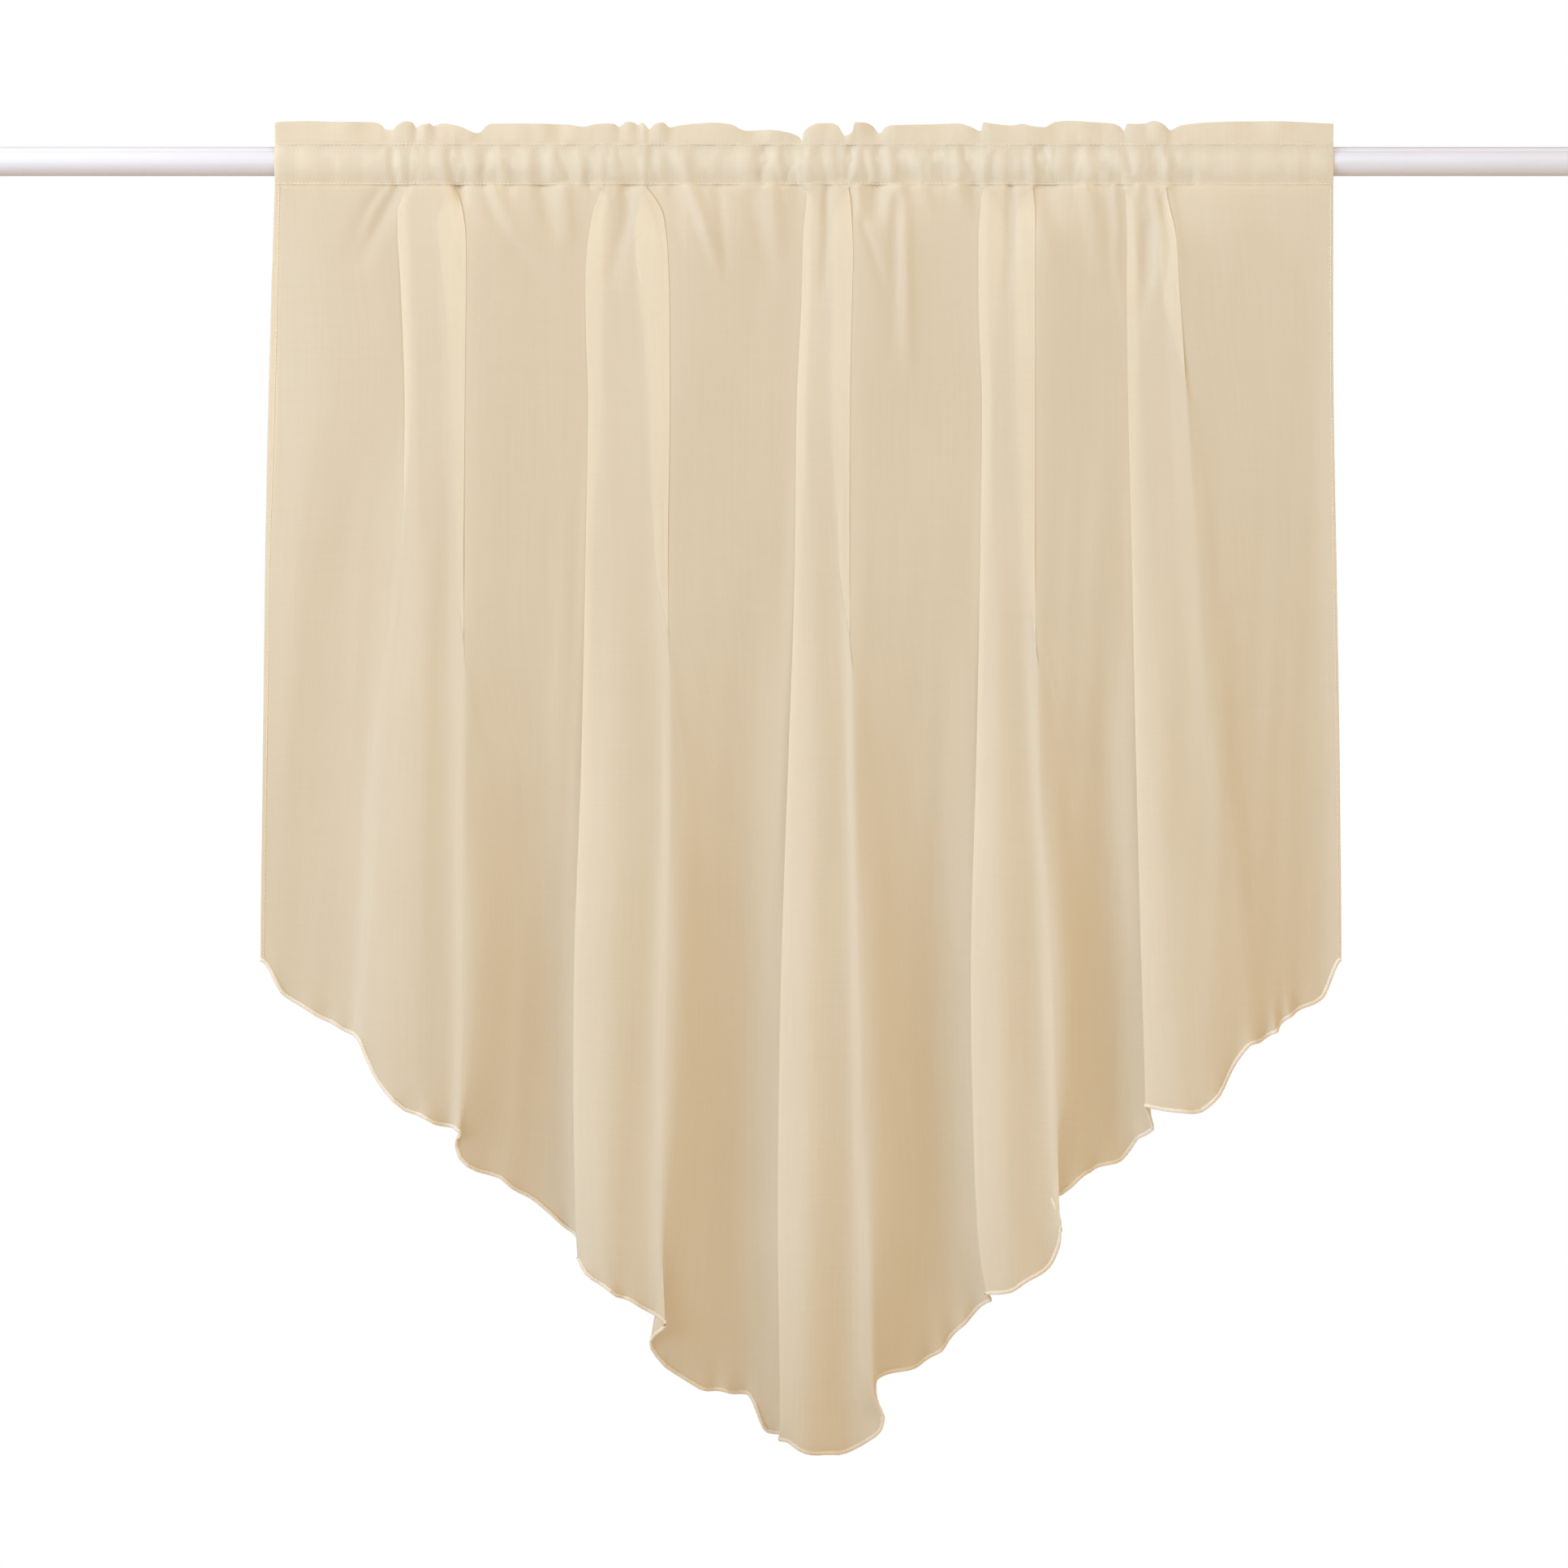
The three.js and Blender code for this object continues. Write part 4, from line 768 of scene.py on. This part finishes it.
# Overlocked edge of the hem: a slim tube of thread, ribbed by its stitches.
edge_line, edge_tangent, edge_normal, edge_at = resample_with(grid[-1], normals[-1], 0.62)
edge_down = np.cross(edge_tangent, edge_normal)
edge_down *= np.where(edge_down[:, 2:3] > 0, -1.0, 1.0)
SIDES_OF_EDGE = 8
angles = 2 * math.pi * np.arange(SIDES_OF_EDGE) / SIDES_OF_EDGE
rib = 1 + 0.2 * np.sin(2 * math.pi * edge_at / 1.9)
edge_points = []
for a in angles:
    twist = 0.12 * np.sin(2 * math.pi * edge_at / 1.9 + a)
    edge_points.append(
        edge_line
        - 0.35 * edge_down
        + edge_down * (1.55 * math.cos(a) * rib)[:, None]
        + edge_normal * ((0.85 * math.sin(a)) * rib + twist)[:, None]
    )
edge_points = np.stack(edge_points, axis=1)
edge_faces = grid_faces(len(edge_line), SIDES_OF_EDGE, wrap=True)
caps = [list(range(SIDES_OF_EDGE)), [len(edge_line) * SIDES_OF_EDGE - 1 - i for i in range(SIDES_OF_EDGE)]]
overlock = add_mesh("hem_overlock", edge_points.reshape(-1, 3), edge_faces.tolist() + caps)

# Stitches: short rounded lengths of thread along the two seams of the heading and the side hems.
STITCH_RINGS = np.array([-1.0, -0.82, -0.35, 0.35, 0.82, 1.0])
STITCH_SIZE = np.array([0.25, 0.8, 1.0, 1.0, 0.8, 0.25])
stitch_points, stitch_faces = [], []
RING = 6


def sew(line, normal, step, length, radius, keep=None):
    p, t, n, at = resample_with(line, normal, step)
    for i in range(1, len(p) - 1):
        if keep is not None and not keep(p[i], t[i]):
            continue
        b = np.cross(t[i], n[i])
        base = sum(len(x) for x in stitch_points)
        ring = 2 * math.pi * np.arange(RING) / RING
        dip = -n[i] * (0.10 + 0.16 * (1 - STITCH_RINGS**2))[:, None]
        centre = p[i] + t[i] * (STITCH_RINGS * length / 2)[:, None] + dip
        pts = centre[:, None, :] + (STITCH_SIZE * radius)[:, None, None] * (
            np.cos(ring)[None, :, None] * b + np.sin(ring)[None, :, None] * n[i]
        )
        stitch_points.append(pts.reshape(-1, 3))
        stitch_faces.extend((grid_faces(len(STITCH_RINGS), RING, wrap=True) + base).tolist())
        stitch_faces.append([base + j for j in range(RING - 1, -1, -1)])
        last_ring = base + (len(STITCH_RINGS) - 1) * RING
        stitch_faces.append([last_ring + j for j in range(RING)])


def forward_run(p, t):
    return t[0] > 0.15


sew(grid[LOWER_ROW], normals[LOWER_ROW], 3.0, 2.6, 0.34, forward_run)
sew(grid[UPPER_ROW], normals[UPPER_ROW], 3.0, 2.6, 0.34, forward_run)
for column in (3, NC - 4):
    sew(grid[LOWER_ROW:, column], normals[LOWER_ROW:, column], 3.0, 2.4, 0.28)
stitches = add_mesh("seam_stitches", np.concatenate(stitch_points), stitch_faces)

# Rod: a round tube with its rolled seam as a fine groove, and plugged ends.
GROOVE_AT, GROOVE_WIDE, GROOVE_DEEP = math.radians(45), 0.105, 1.5
fine = np.linspace(-3.2 * GROOVE_WIDE, 3.2 * GROOVE_WIDE, 13) + GROOVE_AT
coarse = np.linspace(fine[-1], fine[0] + 2 * math.pi, 92)[1:-1]
around = np.concatenate([fine, coarse])
groove = GROOVE_DEEP * np.exp(-(((around - GROOVE_AT + math.pi) % (2 * math.pi) - math.pi) / GROOVE_WIDE) ** 2)
ROD_PROFILE = [  # distance in from the end, radius, share of the groove
    (0.0, 0.0, 0.0), (0.0, 8.6, 0.0), (0.35, 8.8, 0.0), (0.35, 9.1, 0.0), (0.0, 9.3, 0.0), (0.0, 10.2, 0.4),
    (0.25, 10.75, 0.8), (0.8, 11.0, 1.0), (6.0, 11.0, 1.0),
]
stations_x = [(-ROD_LENGTH / 2 + a, r, g) for a, r, g in ROD_PROFILE]
stations_x += [(x, ROD_RADIUS, 1.0) for x in np.linspace(-ROD_LENGTH / 2, ROD_LENGTH / 2, 42)[1:-1]]
stations_x += [(ROD_LENGTH / 2 - a, r, g) for a, r, g in reversed(ROD_PROFILE)]
rod_points = []
for x, r, g in stations_x[1:-1]:
    radius = r - groove * g
    rod_points.append(np.stack([np.full(len(around), x), -radius * np.cos(around), radius * np.sin(around)], axis=-1))
n_around = len(around)
rod_points = np.concatenate(rod_points + [[[-ROD_LENGTH / 2, 0, 0]], [[ROD_LENGTH / 2, 0, 0]]])
n_rings = len(stations_x) - 2
faces = grid_faces(n_rings, n_around, wrap=True)[:, ::-1].tolist()
tip = n_rings * n_around
for j in range(n_around):
    j2 = (j + 1) % n_around
    faces.append([tip, j2, j])
    faces.append([tip + 1, (n_rings - 1) * n_around + j, (n_rings - 1) * n_around + j2])
rod = add_mesh("curtain_rod", rod_points, faces)
rod.data.set_sharp_from_angle(angle=math.radians(40))


# ---------------------------------------------------------------- materials
class Nodes:
    """A short way to build a node tree."""

    def __init__(self, name):
        self.material = bpy.data.materials.new(name)
        self.material.use_nodes = True
        self.tree = self.material.node_tree
        self.tree.nodes.clear()

    def add(self, kind, **settings):
        node = self.tree.nodes.new(kind)
        for key, value in settings.items():
            setattr(node, key, value)
        return node

    def link(self, a, b):
        self.tree.links.new(a, b)

    def mapped(self, source, scale):
        m = self.add("ShaderNodeMapping")
        m.inputs["Scale"].default_value = scale
        self.link(source, m.inputs["Vector"])
        return m.outputs["Vector"]

    def noise(self, vector, scale=1.0, detail=2.0, roughness=0.5):
        n = self.add("ShaderNodeTexNoise")
        n.inputs["Scale"].default_value = scale
        n.inputs["Detail"].default_value = detail
        n.inputs["Roughness"].default_value = roughness
        self.link(vector, n.inputs["Vector"])
        return n.outputs["Fac"]

    def math(self, operation, a, b=None):
        m = self.add("ShaderNodeMath", operation=operation)
        for socket, value in zip(m.inputs, (a, b)):
            if value is None:
                continue
            if isinstance(value, (int, float)):
                socket.default_value = value
            else:
                self.link(value, socket)
        return m.outputs[0]

    def ramp(self, factor, stops):
        r = self.add("ShaderNodeValToRGB")
        while len(r.color_ramp.elements) < len(stops):
            r.color_ramp.elements.new(0.5)
        for element, (position, colour) in zip(r.color_ramp.elements, stops):
            element.position = position
            element.color = (*colour, 1.0)
        self.link(factor, r.inputs["Fac"])
        return r.outputs["Color"]

    def range(self, factor, low, high, to_low, to_high):
        m = self.add("ShaderNodeMapRange")
        for socket, value in zip(("From Min", "From Max", "To Min", "To Max"), (low, high, to_low, to_high)):
            m.inputs[socket].default_value = value
        self.link(factor, m.inputs["Value"])
        return m.outputs["Result"]


def voile(name, face_tones, through_tones):
    n = Nodes(name)
    flat = n.add("ShaderNodeUVMap", uv_map="OFBake").outputs["UV"]
    # Thread by thread unevenness: long thin streaks down the warp and along the weft.
    warp = n.noise(n.mapped(flat, (UV_MM / 1.3, UV_MM / 90, 1)), detail=3)
    weft = n.noise(n.mapped(flat, (UV_MM / 90, UV_MM / 1.3, 1)), detail=3)
    cloud = n.noise(n.mapped(flat, (UV_MM / 70, UV_MM / 110, 1)), detail=2)
    threads = n.math("ADD", n.math("MULTIPLY", warp, 0.55), n.math("MULTIPLY", weft, 0.45))
    tone = n.math("ADD", n.math("MULTIPLY", threads, 0.7), n.math("MULTIPLY", cloud, 0.3))
    face = n.ramp(tone, [(0.3, face_tones[0]), (0.7, face_tones[1])])
    through = n.ramp(tone, [(0.3, through_tones[0]), (0.7, through_tones[1])])
    # Plain weave: over and under.
    parts = n.add("ShaderNodeSeparateXYZ")
    n.link(flat, parts.inputs[0])
    pitch = 0.55
    over = n.math("MULTIPLY", n.math("SINE", n.math("MULTIPLY", parts.outputs["X"], 2 * math.pi * UV_MM / pitch)),
                  n.math("SINE", n.math("MULTIPLY", parts.outputs["Y"], 2 * math.pi * UV_MM / pitch)))
    height = n.math("ADD", n.math("MULTIPLY", over, 0.25), threads)
    bump = n.add("ShaderNodeBump")
    bump.inputs["Strength"].default_value = 0.22
    bump.inputs["Distance"].default_value = 0.0003
    n.link(height, bump.inputs["Height"])
    front = n.add("ShaderNodeBsdfPrincipled")
    front.inputs["Specular IOR Level"].default_value = 0.15
    front.inputs["Sheen Weight"].default_value = 0.12
    front.inputs["Sheen Roughness"].default_value = 0.5
    front.inputs["Sheen Tint"].default_value = (1.0, 0.95, 0.86, 1.0)
    n.link(face, front.inputs["Base Color"])
    n.link(n.range(threads, 0.3, 0.7, 0.86, 0.74), front.inputs["Roughness"])
    n.link(bump.outputs["Normal"], front.inputs["Normal"])
    back = n.add("ShaderNodeBsdfTranslucent")
    n.link(through, back.inputs["Color"])
    n.link(bump.outputs["Normal"], back.inputs["Normal"])
    both = n.add("ShaderNodeMixShader")
    both.inputs[0].default_value = 0.50
    n.link(front.outputs[0], both.inputs[1])
    n.link(back.outputs[0], both.inputs[2])
    out = n.add("ShaderNodeOutputMaterial")
    n.link(both.outputs[0], out.inputs["Surface"])
    return n.material


def thread():
    n = Nodes("thread")
    place = n.add("ShaderNodeTexCoord").outputs["Object"]
    fine = n.noise(n.mapped(place, (1, 1, 1)), scale=900, detail=2)
    slow = n.noise(n.mapped(place, (1, 1, 1)), scale=60, detail=2)
    colour = n.ramp(n.math("ADD", n.math("MULTIPLY", fine, 0.5), n.math("MULTIPLY", slow, 0.5)),
                    [(0.3, (0.86, 0.77, 0.60)), (0.7, (0.94, 0.87, 0.73))])
    twist = n.noise(n.mapped(place, (1, 1, 1)), scale=2600, detail=1)
    bump = n.add("ShaderNodeBump")
    bump.inputs["Strength"].default_value = 0.35
    bump.inputs["Distance"].default_value = 0.0002
    n.link(twist, bump.inputs["Height"])
    p = n.add("ShaderNodeBsdfPrincipled")
    p.inputs["Specular IOR Level"].default_value = 0.25
    p.inputs["Sheen Weight"].default_value = 0.15
    n.link(colour, p.inputs["Base Color"])
    n.link(n.range(fine, 0.3, 0.7, 0.55, 0.75), p.inputs["Roughness"])
    n.link(bump.outputs["Normal"], p.inputs["Normal"])
    through = n.add("ShaderNodeBsdfTranslucent")
    n.link(colour, through.inputs["Color"])
    both = n.add("ShaderNodeMixShader")
    both.inputs[0].default_value = 0.35
    n.link(p.outputs[0], both.inputs[1])
    n.link(through.outputs[0], both.inputs[2])
    out = n.add("ShaderNodeOutputMaterial")
    n.link(both.outputs[0], out.inputs["Surface"])
    return n.material


def satin_rod():
    n = Nodes("satin_rod")
    place = n.add("ShaderNodeTexCoord").outputs["Object"]
    drawn = n.noise(n.mapped(place, (6, 900, 900)), detail=3)
    cloud = n.noise(n.mapped(place, (14, 40, 40)), detail=2)
    tone = n.math("ADD", n.math("MULTIPLY", drawn, 0.5), n.math("MULTIPLY", cloud, 0.5))
    colour = n.ramp(tone, [(0.3, (0.60, 0.58, 0.59)), (0.7, (0.66, 0.64, 0.65))])
    bump = n.add("ShaderNodeBump")
    bump.inputs["Strength"].default_value = 0.08
    bump.inputs["Distance"].default_value = 0.0002
    n.link(drawn, bump.inputs["Height"])
    p = n.add("ShaderNodeBsdfPrincipled")
    p.inputs["Metallic"].default_value = 0.2
    p.inputs["Coat Weight"].default_value = 0.15
    p.inputs["Coat Roughness"].default_value = 0.25
    n.link(colour, p.inputs["Base Color"])
    n.link(n.range(tone, 0.3, 0.7, 0.42, 0.32), p.inputs["Roughness"])
    n.link(bump.outputs["Normal"], p.inputs["Normal"])
    out = n.add("ShaderNodeOutputMaterial")
    n.link(p.outputs[0], out.inputs["Surface"])
    return n.material


def pale_floor():
    n = Nodes("pale_floor")
    place = n.add("ShaderNodeTexCoord").outputs["Object"]
    cloud = n.noise(n.mapped(place, (1, 1, 1)), scale=1.5, detail=3)
    p = n.add("ShaderNodeBsdfPrincipled")
    p.inputs["Specular IOR Level"].default_value = 0.2
    n.link(n.ramp(cloud, [(0.3, (0.90, 0.90, 0.905)), (0.7, (0.92, 0.92, 0.92))]), p.inputs["Base Color"])
    n.link(n.range(cloud, 0.3, 0.7, 0.75, 0.85), p.inputs["Roughness"])
    out = n.add("ShaderNodeOutputMaterial")
    n.link(p.outputs[0], out.inputs["Surface"])
    return n.material


def dark_card():
    n = Nodes("dark_card")
    place = n.add("ShaderNodeTexCoord").outputs["Object"]
    cloud = n.noise(n.mapped(place, (1, 1, 1)), scale=8, detail=2)
    p = n.add("ShaderNodeBsdfPrincipled")
    p.inputs["Roughness"].default_value = 0.9
    n.link(n.ramp(cloud, [(0.3, (0.38, 0.30, 0.20)), (0.7, (0.42, 0.34, 0.23))]), p.inputs["Base Color"])
    out = n.add("ShaderNodeOutputMaterial")
    n.link(p.outputs[0], out.inputs["Surface"])
    return n.material


cloth.data.materials.append(voile("voile", [(0.745, 0.675, 0.515), (0.795, 0.725, 0.565)], [(0.895, 0.82, 0.68), (0.945, 0.87, 0.73)]))
# The frill gets a paler copy of the same cloth: painted light, standing in for the brighter look of its doubled layers.
cloth.data.materials.append(voile("voile_frill_painted_light", [(0.765, 0.70, 0.548), (0.815, 0.75, 0.598)], [(0.90, 0.83, 0.70), (0.95, 0.88, 0.75)]))
face_row = np.arange(len(cloth.data.polygons)) // (n_cols - 1)
# The frill's faces take that paler copy; their extra lightness is painted light.
painted_light_frill_faces = (face_row >= FRILL_ROW) & (face_row < UPPER_ROW)
cloth.data.polygons.foreach_set("material_index", painted_light_frill_faces.astype(np.int32))
thread_material = thread()
overlock.data.materials.append(thread_material)
stitches.data.materials.append(thread_material)
rod.data.materials.append(satin_rod())

for piece in (cloth, overlock, stitches, rod):
    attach(piece, "root")
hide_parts("curtain")
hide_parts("rod")

# ---------------------------------------------------------------- stage
bpy.ops.mesh.primitive_circle_add(vertices=128, radius=4.2, fill_type="NGON", location=(0, 0, -1.75))
floor = bpy.context.object
floor.name = "floor"
floor.data.materials.append(pale_floor())
floor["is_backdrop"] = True

# A dark card in front and to the left, below the picture, that holds the key light off the hem's tip.
card = add_mesh("card", [(-900, -40, -1250), (-20, -690, -1250), (-20, -690, -924), (-900, -40, -924)], [(0, 1, 2, 3)], False)
card.data.materials.append(dark_card())
card.visible_camera = False
card.visible_glossy = False
card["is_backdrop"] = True


def area_light(name, at, aim, width, height, power, colour):
    data = bpy.data.lights.new(name, "AREA")
    data.shape = "RECTANGLE"
    data.size, data.size_y = width, height
    data.energy, data.color = power, colour
    ob = bpy.data.objects.new(name, data)
    ob.location = at
    ob.rotation_euler = (Vector(aim) - Vector(at)).to_track_quat("-Z", "Y").to_euler()
    bpy.context.scene.collection.objects.link(ob)
    return ob


area_light("key", (-8.9, -6.8, 0.5), (0.0, 0.0, -0.4), 7.2, 7.2, 785, (0.62, 1.0, 1.52))
near_light = area_light("near", (-1.0, -0.36, 0.35), (-0.45, 0.0, -0.02), 0.5, 0.5, 4.0, (0.85, 1.0, 1.25))
near_light.visible_camera = False
top_light = area_light("top", (0.3, -0.85, 0.25), (0.1, 0.0, -0.2), 0.5, 0.5, 2.3, (0.68, 1.03, 1.5))
top_light.visible_camera = False
top_light.visible_glossy = False

world = bpy.data.worlds.new("studio")
bpy.context.scene.world = world
world.use_nodes = True
tree = world.node_tree
tree.nodes.clear()
light_path = tree.nodes.new("ShaderNodeLightPath")
seen = tree.nodes.new("ShaderNodeBackground")
seen.inputs["Color"].default_value = (1, 1, 1, 1)
seen.inputs["Strength"].default_value = 1.0
mirrored = tree.nodes.new("ShaderNodeBackground")
mirrored.inputs["Color"].default_value = (0.92, 0.91, 0.93, 1)
mirrored.inputs["Strength"].default_value = 0.9
lit = tree.nodes.new("ShaderNodeBackground")
lit.inputs["Strength"].default_value = 1.0
direction = tree.nodes.new("ShaderNodeTexCoord")
split = tree.nodes.new("ShaderNodeSeparateXYZ")
tree.links.new(direction.outputs["Generated"], split.inputs[0])
depth = tree.nodes.new("ShaderNodeMapRange")
depth.inputs["From Min"].default_value, depth.inputs["From Max"].default_value = -1.0, 1.0
tree.links.new(split.outputs["Y"], depth.inputs["Value"])
sky = tree.nodes.new("ShaderNodeValToRGB")
sky.color_ramp.elements[0].position, sky.color_ramp.elements[0].color = 0.42, (1.155, 0.9, 0.605, 1)
sky.color_ramp.elements[1].position, sky.color_ramp.elements[1].color = 0.58, (0.28, 0.17, 0.06, 1)
tree.links.new(depth.outputs["Result"], sky.inputs["Fac"])
tree.links.new(sky.outputs["Color"], lit.inputs["Color"])
glossy = tree.nodes.new("ShaderNodeMixShader")
tree.links.new(light_path.outputs["Is Glossy Ray"], glossy.inputs[0])
tree.links.new(lit.outputs[0], glossy.inputs[1])
tree.links.new(mirrored.outputs[0], glossy.inputs[2])
choose = tree.nodes.new("ShaderNodeMixShader")
tree.links.new(light_path.outputs["Is Camera Ray"], choose.inputs[0])
tree.links.new(glossy.outputs[0], choose.inputs[1])
tree.links.new(seen.outputs[0], choose.inputs[2])
out = tree.nodes.new("ShaderNodeOutputWorld")
tree.links.new(choose.outputs[0], out.inputs["Surface"])

scene = bpy.context.scene
scene.view_settings.view_transform = "Standard"
scene.view_settings.look = "None"

# Camera straight in front, level with the middle of the frame.
DISTANCE = 4.5
FRAME_WIDTH = 1932 * 0.61 * MM
camera = bpy.data.cameras.new("camera")
camera.sensor_width = 36
camera.lens = 36 * DISTANCE / FRAME_WIDTH
camera.clip_end = 50
camera_object = bpy.data.objects.new("camera", camera)
camera_object.location = (0, -DISTANCE, (199 - 966) * 0.61 * MM)
camera_object.rotation_euler = (math.radians(90), 0, 0)
scene.collection.objects.link(camera_object)
scene.camera = camera_object

low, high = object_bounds()
{"cad": [list(cad_low), list(cad_high)], "visual": [list(low), list(high)]}
print("columns", n_cols, "rows", n_rows, "triangles", {o.name: sum(len(p.vertices) - 2 for p in o.data.polygons) for o in (cloth, overlock, stitches, rod)})
print("flat width", s_all[-1] - s_all[0], "flat length", t_all[-1].max(), "flat area", float(np.sum(0.5 * (t_all[-1][1:] + t_all[-1][:-1]) * np.diff(s_all))) * 1e-6)
